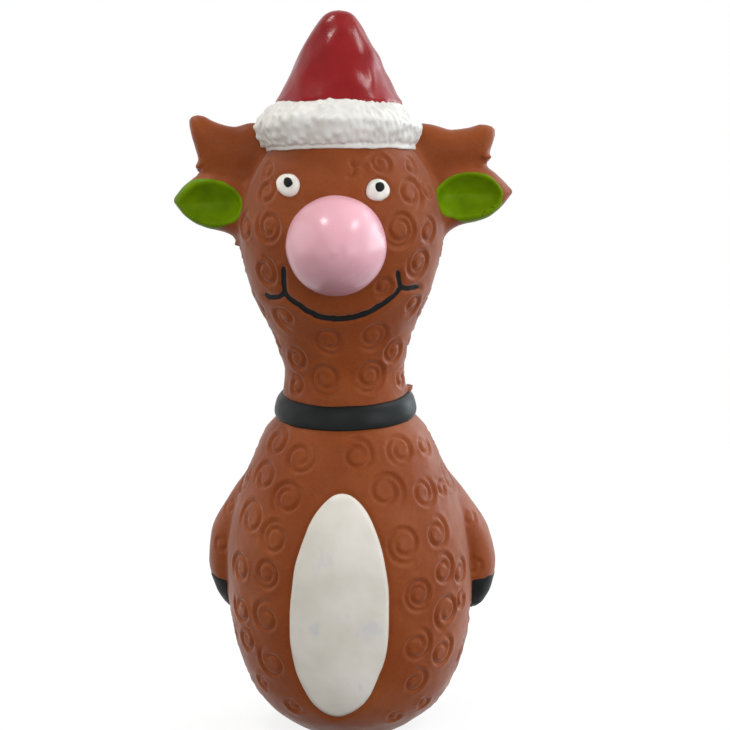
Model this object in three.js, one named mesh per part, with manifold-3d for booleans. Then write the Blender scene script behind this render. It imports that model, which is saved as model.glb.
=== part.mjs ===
// A squeaky latex dog toy: a reindeer in a peaked winter hat. It is one hollow rubber casting, painted in
// thick coats of coloured latex and filled with fibre, with a push-in reed squeaker in its foot.
// Millimetres, +Z up. The front faces -Y, and left and right are the viewer's, from the front.

import * as THREE from "three";
import { mergeVertices } from "three/addons/utils/BufferGeometryUtils.js";
import Module from "manifold-3d";

const wasm = await Module();
wasm.setup();

const { lerp, clamp, degToRad } = THREE.MathUtils;

// Torso, neck and head
const footHalfWidth = 12.5;
const torsoHalfWidth = 30.7;
const torsoHalfDepth = 28.5;
const torsoHeight = 78;
const neckHalfWidth = 14.8;
const neckHalfDepth = 14.3;
const neckHeight = 13.3;
const headHalfWidth = 25.3;
const headHalfDepth = 23;
const headHeight = 60.7;
const crownLead = 2.5;
const neckTop = torsoHeight + neckHeight;
const crownTop = neckTop + headHeight;
// [share of torsoHeight, share of the way from the foot's half width to the torso's]
const bellyShares = [
  [0, 0], [0.015, 0.12], [0.037, 0.26], [0.072, 0.455], [0.12, 0.625], [0.18, 0.76], [0.26, 0.88],
  [0.36, 0.962],
];
// [share of torsoHeight, share of the way from the neck's half width to the torso's]
const shoulderShares = [
  [0.47, 1], [0.57, 0.992], [0.66, 0.935], [0.75, 0.82], [0.84, 0.65], [0.97, 0.36], [1, 0.265],
];
// [share of neckHeight, share of the way from the neck's half width to the torso's]
const neckShares = [[0.09, 0.195], [0.165, 0.132], [0.28, 0.08], [0.6, 0.038], [1, 0]];
// [share of headHeight, share of the way from the neck's half width to the head's, share of crownLead]
const cheekShares = [
  [0.08, 0.095, 0.05], [0.166, 0.257, 0.15], [0.249, 0.476, 0.26], [0.331, 0.69, 0.38], [0.414, 0.833, 0.45],
  [0.496, 0.943, 0.51], [0.6, 1, 0.55],
];
// [share of headHeight, share of headHalfWidth, share of headHalfDepth, share of crownLead]
const crownShares = [
  [0.7, 0.964, 0.97, 0.6], [0.79, 0.88, 0.915, 0.75], [0.87, 0.787, 0.82, 0.9], [0.94, 0.684, 0.7, 1],
  [1, 0.57, 0.57, 1],
];

// Skin, and the coats of coloured latex in their shallow pockets
const skinWall = 2.2;
const footWall = 5;
const coatThickness = 0.5;
const coatProud = 0.15;
const gap = 0.3;
const overrun = 5;
const coatBack = coatProud - coatThickness;
const pocketFloor = coatBack - gap;

// Collar, raised at the back
const collarRise = 5;
const collarZ = torsoHeight + collarRise;
const collarBand = 5.6;
const collarHalfWidth = 17.6;
const collarTiltDeg = 3.2;
// [share of collarBand from the middle, share of collarHalfWidth]
const collarShares = [[-0.5, 0.985], [-0.3, 1], [0.2, 0.972], [0.5, 0.91]];

// Hat and its trim, about an axis that leans back and a little to the right
const hatLeanDeg = 6;
const hatRollDeg = 1.3;
const hatX = -0.5;
const hatLead = 1;
const hatHalfWidth = 15.2;
const hatHeight = 22.1;
const trimHalfWidth = 20.4;
const trimHeight = 12;
// [share of hatHeight, share of hatHalfWidth]
const hatShares = [
  [0, 1], [0.09, 0.928], [0.265, 0.8], [0.443, 0.676], [0.624, 0.537], [0.803, 0.391], [0.891, 0.293],
  [0.96, 0.18], [1, 0.02],
];
// [share of trimHeight from the middle, share of trimHalfWidth]
const trimShares = [
  [-0.5, 0.845], [-0.4, 0.935], [-0.2, 0.99], [0.03, 1], [0.25, 0.95], [0.42, 0.84], [0.5, 0.755],
];

// Nose
const noseX = -1.3;
const noseHeightShare = 0.567;
const noseZ = neckTop + noseHeightShare * headHeight;
const noseRadius = 11.8;
const noseReach = 15.5;
const noseRoot = 11;
const noseLead = 1.5;
// [share of noseReach in front of the widest ring, or of noseRoot behind it, share of noseRadius]
const noseShares = [
  [-1, 0.7], [-0.5, 0.92], [0, 1], [0.2, 0.975], [0.4, 0.885], [0.58, 0.755], [0.74, 0.6], [0.87, 0.43],
  [0.96, 0.24], [1, 0.04],
];

// Eyes
const eyeRadius = 2.75;
const eyeRise = 0.9;
const pupilRadius = 1.2;
const pupilRise = 0.45;
const pupilInwards = 0.15;
// [share of headHalfWidth to the right, share of headHeight]
const eyeShares = { left: [-0.494, 0.802], right: [0.352, 0.781] };
const eyes = Object.entries(eyeShares).map(([side, [across, up]]) => (
  { side, x: across * headHalfWidth, z: neckTop + up * headHeight }
));

// Mouth
const mouthX = 0;
const mouthHeightShare = 0.372;
const mouthZ = neckTop + mouthHeightShare * headHeight;
const mouthHalfWidth = 14.1;
const mouthDrop = 6.8;
const mouthLine = 0.65;
const mouthSink = 0.35;
const cornerRise = 5.2;
const cornerReach = 4.3;
const cornerDip = 0.9;
const cornerLean = 0.45;

// Belly patch
const bellyX = -2;
const bellyDrop = 2;
const bellyMargin = 11;
const bellyZ = torsoHeight / 2 - bellyDrop;
const bellyHalfWidth = 12;
const bellyHalfHeight = torsoHeight / 2 - bellyMargin;
const bellyTaperShare = 0.1;
const bellyTiltDeg = 0.7;

// Arms and hooves
const shoulderDrop = 10;
const armTop = torsoHeight - shoulderDrop;
const armLength = 38.5;
const armX = 30.6;
const armY = 4;
const armShift = 0.8;
const armHalfWidth = 5.7;
const armHalfDepth = 7.6;
const hoofHeight = 7.9;
const hoofTop = armTop - armLength + hoofHeight;
// [share of armLength from the tip, shares of armX on the left and on the right, share of armHalfWidth,
// share of armHalfDepth]
const armShares = [
  [0, 0.965, 0.992, 0.25, 0.3], [0.035, 0.957, 0.986, 0.56, 0.6], [0.135, 0.97, 0.995, 0.86, 0.88],
  [0.3, 0.996, 1.008, 1, 1], [0.5, 0.972, 0.963, 0.99, 0.99], [0.74, 0.835, 0.807, 0.87, 0.86],
  [1, 0.65, 0.622, 0.5, 0.45],
];

// Ears, each a leaf with a cup in its front
const earRoot = 17;
const earY = 0;
const earHalfHeight = 7.3;
const earHalfDepth = 6;
const earCupHalfLength = 8.4;
const earCupHalfHeight = 6.6;
const earCupDepth = 5;
const leftEarReach = 41.3;
const rightEarReach = 42;
const ears = [
  { name: "left", side: -1, reach: leftEarReach, upShare: 0.705, cupShare: 0.66, cupUpShare: 0.7 },
  { name: "right", side: 1, reach: rightEarReach, upShare: 0.718, cupShare: 0.592, cupUpShare: 0.718 },
];
// [share of the way from earRoot to the tip, share of earHalfHeight, share of earHalfDepth, rise in shares]
const earShares = [
  [0, 1.1, 0.8, -0.4], [0.33, 1.12, 0.96, -0.2], [0.47, 1.04, 1, -0.05], [0.6, 0.985, 1, 0.015],
  [0.76, 0.82, 0.9, 0.03], [0.89, 0.49, 0.62, 0.02], [1, 0.06, 0.1, 0.04],
];

// Antlers, each a palm whose outer edge stands over the ear and ends in one raised point
const antlerRoot = 15;
const antlerHeightShare = 0.769;
const antlerZ = neckTop + antlerHeightShare * headHeight;
const antlerHeight = 17.1;
const antlerY = 2.2;
const antlerHalfDepth = 4.8;
const leftAntlerReach = 37.1;
const rightAntlerReach = 38;
const antlers = [
  { name: "left", side: -1, reach: leftAntlerReach, droopShare: 0 },
  { name: "right", side: 1, reach: rightAntlerReach, droopShare: 0.22 },
];
// [share of the way from antlerRoot to the tip, lower edge and upper edge in shares of antlerHeight,
// share of antlerHalfDepth]
const antlerShares = [
  [0, -0.2, 0.86, 0.9], [0.32, -0.1, 0.877, 1], [0.52, 0, 0.83, 0.97], [0.68, 0.07, 0.885, 0.93],
  [0.815, 0.14, 0.975, 0.85], [0.887, 0.27, 1, 0.78], [0.93, 0.47, 0.995, 0.65], [0.97, 0.65, 0.975, 0.45],
  [1, 0.82, 0.93, 0.12],
];

// Squeaker: a flanged barrel pushed into the foot, and the reed unit that its cap holds
const flangeRadius = 9.5;
const flangeThickness = 1.2;
const flangeRecess = 0.5;
const barrelRadius = 8;
const barrelLength = 14;
const barrelWall = 1.1;
const barbRise = 0.9;
const barbLength = 1.4;
const airHoleRadius = 1.6;
const capThickness = 2.4;
const reedUnitRadius = 2.9;
const reedUnitLength = 10;
const clampLength = 3.2;
const channelWidth = 2;
const channelDepth = 1.3;
const reedWidth = 3.4;
const reedThickness = 0.25;
const reedLength = 8.8;

// Facets round each kind of form
const trunkSides = 32;
const hollowSides = 20;
const limbSides = 16;
const roundSides = 24;
const smallSides = 10;
const buttonRows = 7;
const mouthSpans = 10;

const materials = {
  latex: new THREE.MeshStandardMaterial({ color: 0x8a4a2e, roughness: 0.72, metalness: 0 }),
  fibre: new THREE.MeshStandardMaterial({ color: 0xe9e6dd, roughness: 1, metalness: 0 }),
  red: new THREE.MeshStandardMaterial({ color: 0x9c2030, roughness: 0.22, metalness: 0 }),
  frost: new THREE.MeshStandardMaterial({ color: 0xd6dad8, roughness: 0.5, metalness: 0 }),
  pink: new THREE.MeshStandardMaterial({ color: 0xeeb3cf, roughness: 0.2, metalness: 0 }),
  white: new THREE.MeshStandardMaterial({ color: 0xe6e4dc, roughness: 0.45, metalness: 0 }),
  cream: new THREE.MeshStandardMaterial({ color: 0xcfc9bb, roughness: 0.6, metalness: 0 }),
  green: new THREE.MeshStandardMaterial({ color: 0x5f8f0e, roughness: 0.28, metalness: 0 }),
  black: new THREE.MeshStandardMaterial({ color: 0x23262a, roughness: 0.4, metalness: 0 }),
  slate: new THREE.MeshStandardMaterial({ color: 0x2b3436, roughness: 0.42, metalness: 0 }),
  plastic: new THREE.MeshStandardMaterial({ color: 0xe4e2da, roughness: 0.35, metalness: 0 }),
  film: new THREE.MeshStandardMaterial({ color: 0xc9d3d6, roughness: 0.2, metalness: 0 }),
};

// Vertices closer than this are one vertex.
const mergeDistance = 1e-4;

// A closed three.js geometry as a solid that can be cut and joined.
function solid(geometry) {
  const bare = new THREE.BufferGeometry();
  bare.setAttribute("position", geometry.getAttribute("position"));
  bare.setIndex(geometry.index);
  const merged = mergeVertices(bare, mergeDistance);
  const index = merged.index.array;
  const faces = [];
  for (let i = 0; i < index.length; i += 3) {
    const [a, b, c] = index.subarray(i, i + 3);
    if (a !== b && b !== c && c !== a) faces.push(a, b, c);
  }
  return new wasm.Manifold(
    new wasm.Mesh({
      numProp: 3,
      vertProperties: merged.getAttribute("position").array,
      triVerts: new Uint32Array(faces),
    }),
  );
}

// A solid as a named mesh.
function piece(name, shape, material) {
  const { vertProperties, triVerts } = shape.getMesh();
  const geometry = new THREE.BufferGeometry();
  geometry.setAttribute("position", new THREE.BufferAttribute(vertProperties, 3));
  geometry.setIndex(new THREE.BufferAttribute(triVerts, 1));
  geometry.computeVertexNormals();
  const mesh = new THREE.Mesh(geometry, material);
  mesh.name = name;
  return mesh;
}

function joined(...solids) {
  return solids.reduce((all, next) => all.add(next));
}

// The skin of a loft through rings, lowest first: a lathe of unit radius whose rings take those sizes.
function loftGeometry(rings, sides) {
  const profile = [new THREE.Vector2(0, 0)];
  rings.forEach((ring, i) => profile.push(new THREE.Vector2(1, i)));
  profile.push(new THREE.Vector2(0, rings.length - 1));
  const geometry = new THREE.LatheGeometry(profile, sides);
  const place = geometry.getAttribute("position");
  for (let i = 0; i < place.count; i++) {
    const ring = rings[Math.round(place.getY(i))];
    const x = ring.x + ring.halfWidth * place.getX(i);
    const y = ring.y - ring.halfDepth * place.getZ(i);
    place.setXYZ(i, x, y, ring.z);
  }
  return geometry;
}

// Rings moved out along the normals of their loft. A ring that passes the one below it is left out.
function grown(rings, by) {
  const radius = (ring) => (ring.halfWidth + ring.halfDepth) / 2;
  const last = rings.length - 1;
  const kept = [];
  rings.forEach((ring, i) => {
    const [below, above] = [rings[Math.max(i - 1, 0)], rings[Math.min(i + 1, last)]];
    const rise = above.z - below.z;
    const flare = radius(above) - radius(below);
    const length = Math.hypot(rise, flare);
    const end = Number(i === last) - Number(i === 0);
    const z = ring.z + by * (end || -flare / length);
    const halfWidth = ring.halfWidth + (by * rise) / length;
    const halfDepth = ring.halfDepth + (by * rise) / length;
    const passed = kept.length > 0 && z < kept.at(-1).z + mergeDistance;
    const open = Math.min(halfWidth, halfDepth) > mergeDistance;
    if (open && !passed) kept.push({ ...ring, z, halfWidth, halfDepth });
  });
  return kept;
}

// A box from a low corner to a high one.
function block(low, high) {
  const size = high.map((value, i) => value - low[i]);
  const middle = high.map((value, i) => (value + low[i]) / 2);
  return solid(new THREE.BoxGeometry(...size).translate(...middle));
}

// An upright cylinder.
function rod(radius, low, high, sides = roundSides) {
  const geometry = new THREE.CylinderGeometry(radius, radius, high - low, sides);
  return solid(geometry.rotateX(Math.PI / 2).translate(0, 0, (low + high) / 2));
}

// A coat of colour on a form, inside a region. The form is a function of how much it is grown.
function coat(form, region) {
  return form(coatProud).intersect(region).subtract(form(coatBack));
}

// What a coat's pocket takes out of the skin.
function pocket(form, region) {
  return region.subtract(form(pocketFloor));
}

// The trunk: torso, neck and head in one
function trunkStations() {
  const stations = [];
  const add = (z, halfWidth, halfDepth, lead) => stations.push({ x: 0, y: -lead, z, halfWidth, halfDepth });
  for (const [up, full] of bellyShares) {
    const halfWidth = lerp(footHalfWidth, torsoHalfWidth, full);
    add(up * torsoHeight, halfWidth, lerp(footHalfWidth, torsoHalfDepth, full), 0);
  }
  const fromNeck = (full) => [
    lerp(neckHalfWidth, torsoHalfWidth, full), lerp(neckHalfDepth, torsoHalfDepth, full), 0,
  ];
  for (const [up, full] of shoulderShares) add(up * torsoHeight, ...fromNeck(full));
  for (const [up, full] of neckShares) add(torsoHeight + up * neckHeight, ...fromNeck(full));
  for (const [up, full, lead] of cheekShares) {
    const halfWidth = lerp(neckHalfWidth, headHalfWidth, full);
    add(neckTop + up * headHeight, halfWidth, lerp(neckHalfDepth, headHalfDepth, full), lead * crownLead);
  }
  for (const [up, wide, deep, lead] of crownShares)
    add(neckTop + up * headHeight, wide * headHalfWidth, deep * headHalfDepth, lead * crownLead);
  return stations;
}

const trunkRings = trunkStations();

const trunk = (by, sides = trunkSides) => solid(loftGeometry(grown(trunkRings, by), sides));

// The point on the trunk's front at a place across and up, and the way out of the surface there.
function onFront(x, z) {
  const above = trunkRings.findIndex((ring) => ring.z > z);
  const next = above < 1 ? trunkRings.length - 1 : above;
  const [low, high] = [trunkRings[next - 1], trunkRings[next]];
  const share = (z - low.z) / (high.z - low.z);
  const at = (key) => lerp(low[key], high[key], share);
  const across = clamp(x / at("halfWidth"), -1, 1);
  const point = new THREE.Vector3(x, at("y") - at("halfDepth") * Math.sqrt(1 - across ** 2), z);
  const flare = (high.halfDepth - high.y - low.halfDepth + low.y) / (high.z - low.z);
  const out = new THREE.Vector3(
    x / at("halfWidth") ** 2, (point.y - at("y")) / at("halfDepth") ** 2, 0,
  ).normalize();
  out.z = -flare;
  return { point, out: out.normalize() };
}

function collar(by) {
  const rings = collarShares.map(([up, wide]) => ({
    x: 0, y: 0, z: up * collarBand,
    halfWidth: wide * collarHalfWidth, halfDepth: wide * collarHalfWidth,
  }));
  const geometry = loftGeometry(grown(rings, by), roundSides);
  return solid(geometry.rotateX(degToRad(collarTiltDeg)).translate(0, 0, collarZ));
}

// The hat and its trim, in the hat's own frame: its axis is +Z, from the middle of the trim
function hat(by) {
  const stations = hatShares.map(([up, wide]) => ({
    x: 0, y: 0, z: trimHeight / 2 + up * hatHeight,
    halfWidth: wide * hatHalfWidth, halfDepth: wide * hatHalfWidth,
  }));
  const root = { ...stations[0], z: -trimHeight };
  return solid(loftGeometry(grown([root, ...stations], by), roundSides));
}

function trim(by) {
  const rings = trimShares.map(([up, wide]) => ({
    x: 0, y: 0, z: up * trimHeight, halfWidth: wide * trimHalfWidth, halfDepth: wide * trimHalfWidth,
  }));
  return solid(loftGeometry(grown(rings, by), roundSides));
}

const hatPlace = new THREE.Matrix4().makeRotationX(-degToRad(hatLeanDeg));
hatPlace.multiply(new THREE.Matrix4().makeRotationY(degToRad(hatRollDeg)));
hatPlace.setPosition(hatX, -hatLead, crownTop);
const hatUnplace = hatPlace.clone().invert();
const inHatFrame = (shape) => shape.transform(hatUnplace.elements);
const fromHatFrame = (shape) => shape.transform(hatPlace.elements);
const hatReach = [hatHalfWidth + trimHalfWidth, hatHalfWidth + trimHalfWidth, hatHeight + trimHeight];
const aboveTrim = block([-hatReach[0], -hatReach[1], trimHeight / 2 + gap], hatReach);

// The nose, a blunt egg lying along -Y with its widest ring just in front of the face
const noseFront = onFront(noseX, noseZ).point.y - noseLead;

function nose(by) {
  const stations = noseShares.map(([out, wide]) => ({
    x: noseX, y: noseZ, z: out * (out < 0 ? noseRoot : noseReach) - noseFront,
    halfWidth: wide * noseRadius, halfDepth: wide * noseRadius,
  }));
  return solid(loftGeometry(grown(stations, by), roundSides).rotateX(Math.PI / 2));
}

// A shallow round button, its middle on the surface, facing out of it
function button(radius, rise, { point, out }) {
  const facing = new THREE.Quaternion().setFromUnitVectors(new THREE.Vector3(0, 1, 0), out);
  const geometry = new THREE.SphereGeometry(radius, roundSides / 2, buttonRows);
  geometry.scale(1, rise / radius, 1).applyQuaternion(facing);
  return solid(geometry.translate(...point));
}

const eyeWhite = (eye, by) => button(eyeRadius + by, eyeRise + by, onFront(eye.x, eye.z));

function pupil(eye, by) {
  const { point, out } = onFront(eye.x - Math.sign(eye.x) * pupilInwards, eye.z);
  point.addScaledVector(out, eyeRise);
  return button(pupilRadius + by, pupilRise + by, { point, out });
}

// A round cord of the mouth's line through places on the face
function mouthStroke(places, radius) {
  const points = places.map(([x, z]) => {
    const { point, out } = onFront(x, z);
    return point.clone().addScaledVector(out, -mouthSink);
  });
  const ring = new THREE.Shape().absarc(0, 0, radius, 0, 2 * Math.PI);
  const extrudePath = new THREE.CatmullRomCurve3(points);
  const steps = points.length - 1;
  const curveSegments = smallSides / 2;
  const cord = new THREE.ExtrudeGeometry(ring, { extrudePath, steps, curveSegments, bevelEnabled: false });
  const end = new THREE.SphereGeometry(radius, smallSides, smallSides / 2);
  return joined(solid(cord), solid(end.translate(...points[0])));
}

function mouth(radius) {
  const smile = [];
  for (let i = 0; i <= mouthSpans; i++) {
    const across = (2 * i) / mouthSpans - 1;
    smile.push([mouthX + across * mouthHalfWidth, mouthZ - mouthDrop * (1 - across ** 2)]);
  }
  const strokes = [mouthStroke(smile, radius)];
  for (const side of [-1, 1]) {
    const corner = [mouthX + side * mouthHalfWidth, mouthZ];
    const up = [corner[0] - side * cornerLean, mouthZ + cornerRise];
    const out = [corner[0] + side * cornerReach, mouthZ - cornerDip];
    const half = (end) => [(corner[0] + end[0]) / 2, (corner[1] + end[1]) / 2];
    strokes.push(mouthStroke([corner, half(up), up], radius));
    strokes.push(mouthStroke([corner, half(out), out], radius));
  }
  return joined(...strokes);
}

// The belly patch's outline, an egg narrower at the top, as a prism through the torso's front
function bellyRegion(by) {
  const outline = new THREE.Shape();
  for (let i = 0; i < roundSides; i++) {
    const turn = (i / roundSides) * 2 * Math.PI;
    const across = (bellyHalfWidth + by) * Math.sin(turn) * (1 - bellyTaperShare * Math.cos(turn));
    const up = (bellyHalfHeight + by) * Math.cos(turn);
    if (i) outline.lineTo(across, up);
    else outline.moveTo(across, up);
  }
  const depth = torsoHalfDepth + overrun;
  const prism = new THREE.ExtrudeGeometry(outline, { depth, bevelEnabled: false });
  return solid(prism.rotateZ(degToRad(bellyTiltDeg)).rotateX(Math.PI / 2).translate(bellyX, 0, bellyZ));
}

// Arms, lofted up from the hoof's tip
function arm(side, by) {
  const low = armTop - armLength;
  const stations = armShares.map(([up, left, right, wide, deep]) => ({
    x: (side < 0 ? -left : right) * armX + armShift, y: armY, z: low + up * armLength,
    halfWidth: wide * armHalfWidth, halfDepth: deep * armHalfDepth,
  }));
  return solid(loftGeometry(grown(stations, by), limbSides));
}

function hoofRegion(side, by) {
  const middle = side * armX;
  return block(
    [middle - 2 * armHalfWidth, armY - 2 * armHalfDepth, armTop - armLength - overrun],
    [middle + 2 * armHalfWidth, armY + 2 * armHalfDepth, hoofTop + by],
  );
}

// A loft that runs out sideways, from stations {out, up, y, halfHeight, halfDepth}
function sideways(side, stations, by) {
  const rings = stations.map((s) => (
    { x: -side * s.up, y: s.y, z: s.out, halfWidth: s.halfHeight, halfDepth: s.halfDepth }
  ));
  return solid(loftGeometry(grown(rings, by), limbSides).rotateY((side * Math.PI) / 2));
}

function ear({ side, reach, upShare }) {
  const middle = neckTop + upShare * headHeight;
  const stations = earShares.map(([out, high, deep, rise]) => ({
    out: lerp(earRoot, reach, out), up: middle + rise * earHalfHeight, y: earY,
    halfHeight: high * earHalfHeight, halfDepth: deep * earHalfDepth,
  }));
  return sideways(side, stations, 0);
}

function earCup({ side, reach, cupShare, cupUpShare }, by) {
  const across = side * lerp(earRoot, reach, cupShare);
  const cup = new THREE.SphereGeometry(1, roundSides / 2, smallSides);
  cup.scale(earCupHalfLength + by, earCupDepth + by, earCupHalfHeight + by);
  return solid(cup.translate(across, earY - earHalfDepth, neckTop + cupUpShare * headHeight));
}

function antler({ side, reach, droopShare }, by) {
  const stations = antlerShares.map(([out, low, high, deep]) => {
    const height = antlerHeight * (1 - droopShare * out);
    return {
      out: lerp(antlerRoot, reach, out), up: antlerZ + ((low + high) / 2) * height, y: antlerY,
      halfHeight: ((high - low) / 2) * height, halfDepth: deep * antlerHalfDepth,
    };
  });
  return sideways(side, stations, by);
}

// The squeaker, in its own frame: its axis is +Z, from the flange's outer face
const barrelTop = flangeThickness + barrelLength;
const barbLow = footWall - flangeRecess + gap;
const unitTop = barrelTop - gap;
const unitLow = unitTop - reedUnitLength;
const slotHalf = reedThickness / 2 + gap;

function squeakerHousing() {
  const barb = new THREE.CylinderGeometry(
    barrelRadius + gap / 2, barrelRadius + barbRise, barbLength, roundSides,
  );
  const body = joined(
    rod(flangeRadius, 0, flangeThickness),
    rod(barrelRadius, flangeThickness / 2, barrelTop),
    solid(barb.rotateX(Math.PI / 2).translate(0, 0, barbLow + barbLength / 2)),
  );
  return body
    .subtract(rod(barrelRadius - barrelWall, flangeThickness, barrelTop + overrun))
    .subtract(rod(airHoleRadius, -overrun, flangeThickness + overrun, smallSides));
}

function squeakerCap() {
  const disc = rod(barrelRadius - barrelWall - gap, barrelTop - capThickness, barrelTop);
  return disc.subtract(rod(reedUnitRadius + gap, -overrun, barrelTop + overrun));
}

// The reed lies between the block's flat and the clamp's, on the unit's middle plane.
function reedBlock() {
  const half = rod(reedUnitRadius, unitLow, unitTop).subtract(
    block([-slotHalf, -flangeRadius, 0], [flangeRadius, flangeRadius, barrelTop + overrun]),
  );
  return half.subtract(
    block(
      [-slotHalf - channelDepth, -channelWidth / 2, -overrun],
      [overrun, channelWidth / 2, barrelTop + overrun],
    ),
  );
}

function reedClamp() {
  return rod(reedUnitRadius, unitTop - clampLength, unitTop).subtract(
    block([-flangeRadius, -flangeRadius, 0], [slotHalf, flangeRadius, barrelTop + overrun]),
  );
}

function reed() {
  const top = unitTop - clampLength / 3;
  return block(
    [-reedThickness / 2, -reedWidth / 2, top - reedLength], [reedThickness / 2, reedWidth / 2, top],
  );
}

function footBore() {
  return joined(
    rod(flangeRadius + gap, -overrun, flangeRecess + flangeThickness + gap),
    rod(barrelRadius + gap, -overrun, footWall + gap),
  );
}

// What is taken out of the inside: the foot is thicker than the rest of the skin.
function hollow() {
  const aboveFoot = block(
    [-torsoHalfWidth, -torsoHalfDepth, footWall], [torsoHalfWidth, torsoHalfDepth, crownTop + overrun],
  );
  return joined(
    trunk(-skinWall, hollowSides).intersect(aboveFoot),
    nose(pocketFloor - skinWall),
    fromHatFrame(hat(pocketFloor - skinWall)),
  );
}

function latexSkin() {
  const sides = [-1, 1];
  const casting = joined(
    trunk(0),
    collar(pocketFloor),
    nose(pocketFloor),
    fromHatFrame(trim(pocketFloor)),
    fromHatFrame(hat(pocketFloor)),
    ...sides.map((side) => arm(side, 0).subtract(pocket((by) => arm(side, by), hoofRegion(side, gap)))),
    ...ears.map(ear),
    ...antlers.map((one) => antler(one, 0)),
  );
  const cuts = joined(
    pocket(trunk, bellyRegion(gap)),
    mouth(mouthLine + gap),
    ...eyes.map((eye) => eyeWhite(eye, gap)),
    ...ears.map((one) => earCup(one, gap)),
  );
  return casting.subtract(cuts).subtract(hollow()).subtract(footBore());
}

function fibreFilling() {
  const aboveFoot = block(
    [-torsoHalfWidth, -torsoHalfDepth, footWall + gap], [torsoHalfWidth, torsoHalfDepth, crownTop + overrun],
  );
  const squeakerRoom = rod(barrelRadius + barbRise + gap, 0, flangeRecess + barrelTop + gap);
  return trunk(-skinWall - gap, hollowSides).intersect(aboveFoot).subtract(squeakerRoom);
}

const toy = new THREE.Group();
toy.add(piece("latex_skin", latexSkin(), materials.latex));
toy.add(piece("fibre_filling", fibreFilling(), materials.fibre));
toy.add(piece("collar_coat", coat(collar, collar(coatProud)).subtract(trunk(gap)), materials.slate));
toy.add(piece("belly_coat", coat(trunk, bellyRegion(0)), materials.cream));
toy.add(piece("nose_coat", coat(nose, nose(coatProud)).subtract(trunk(gap)), materials.pink));
toy.add(piece("mouth_line", mouth(mouthLine), materials.black));

const hatGroup = new THREE.Group();
hatGroup.applyMatrix4(hatPlace);
const nearTrim = joined(trunk(gap), ...antlers.map((one) => antler(one, gap)));
const besideTrim = joined(inHatFrame(nearTrim), hat(gap));
hatGroup.add(piece("hat_coat", coat(hat, aboveTrim), materials.red));
hatGroup.add(piece("trim_coat", coat(trim, trim(coatProud)).subtract(besideTrim), materials.frost));
toy.add(hatGroup);

for (const eye of eyes) {
  toy.add(piece(`eye_white_${eye.side}`, eyeWhite(eye, 0).subtract(pupil(eye, gap)), materials.white));
  toy.add(piece(`pupil_${eye.side}`, pupil(eye, 0), materials.black));
}

for (const one of ears) {
  const lining = ear(one).intersect(earCup(one, 0)).subtract(earCup(one, -coatThickness));
  const hoof = coat((by) => arm(one.side, by), hoofRegion(one.side, 0));
  toy.add(piece(`ear_lining_${one.name}`, lining.subtract(trunk(gap)), materials.green));
  toy.add(piece(`hoof_coat_${one.name}`, hoof.subtract(trunk(gap)), materials.black));
}

const squeaker = new THREE.Group();
squeaker.position.z = flangeRecess;
squeaker.add(piece("squeaker_housing", squeakerHousing(), materials.plastic));
squeaker.add(piece("squeaker_cap", squeakerCap(), materials.plastic));
squeaker.add(piece("reed_block", reedBlock(), materials.plastic));
squeaker.add(piece("reed_clamp", reedClamp(), materials.plastic));
squeaker.add(piece("reed", reed(), materials.film));
toy.add(squeaker);

// The toy stands on Z = 0, with the middle of its outline over the origin.
const outline = new THREE.Box3().setFromObject(toy);
const middle = outline.getCenter(new THREE.Vector3());
toy.position.set(-middle.x, -middle.y, -outline.min.z);

const model = new THREE.Group();
model.add(toy);

export default model;
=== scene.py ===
# Looks of a squeaky latex dog toy: a reindeer in a peaked winter hat, one hollow casting under thick coats of
# coloured latex. Forms are worked out in millimetres in the toy's own frame, whose Z axis is the squeaker's,
# with the front towards -Y and left and right as seen from the front. Pieces are made in metres.

import math

import bpy
import numpy as np
from mathutils import Matrix, Vector

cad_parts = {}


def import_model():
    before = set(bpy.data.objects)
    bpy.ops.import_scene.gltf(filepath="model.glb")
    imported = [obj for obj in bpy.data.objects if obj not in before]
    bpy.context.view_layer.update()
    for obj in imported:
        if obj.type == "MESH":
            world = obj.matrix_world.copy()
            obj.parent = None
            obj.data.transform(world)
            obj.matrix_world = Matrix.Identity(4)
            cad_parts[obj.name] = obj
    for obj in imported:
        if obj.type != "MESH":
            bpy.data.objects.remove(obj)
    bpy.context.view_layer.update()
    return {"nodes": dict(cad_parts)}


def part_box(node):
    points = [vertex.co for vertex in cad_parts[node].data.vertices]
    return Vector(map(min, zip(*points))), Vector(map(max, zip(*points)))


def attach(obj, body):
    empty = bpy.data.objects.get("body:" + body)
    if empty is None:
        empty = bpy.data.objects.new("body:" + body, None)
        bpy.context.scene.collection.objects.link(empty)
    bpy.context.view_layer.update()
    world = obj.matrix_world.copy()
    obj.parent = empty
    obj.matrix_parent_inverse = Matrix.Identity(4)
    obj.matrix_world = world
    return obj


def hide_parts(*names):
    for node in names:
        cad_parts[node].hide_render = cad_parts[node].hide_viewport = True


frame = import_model()

MM = 0.001
TINY = 1e-6
housing_low, housing_high = (np.array(corner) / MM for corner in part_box("squeaker_housing"))
own_origin = np.array([*(housing_low + housing_high)[:2] / 2, 0.0])

# Trunk: torso, neck and head
foot_half_width = 12.5
torso_half_width, torso_half_depth, torso_height = 30.7, 28.5, 78.0
neck_half_width, neck_half_depth, neck_height = 14.8, 14.3, 13.3
head_half_width, head_half_depth, head_height = 25.3, 23.0, 60.7
crown_lead = 2.5
neck_top = torso_height + neck_height
crown_top = neck_top + head_height
# [share of torso_height, share of the way from the foot's half width to the torso's]
belly_shares = [
    [0, 0], [0.015, 0.12], [0.037, 0.26], [0.072, 0.455], [0.12, 0.625], [0.18, 0.76], [0.26, 0.88],
    [0.36, 0.962],
]
# [share of torso_height, share of the way from the neck's half width to the torso's]
shoulder_shares = [
    [0.47, 1], [0.57, 0.992], [0.66, 0.935], [0.75, 0.82], [0.84, 0.65], [0.97, 0.36], [1, 0.265],
]
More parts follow.
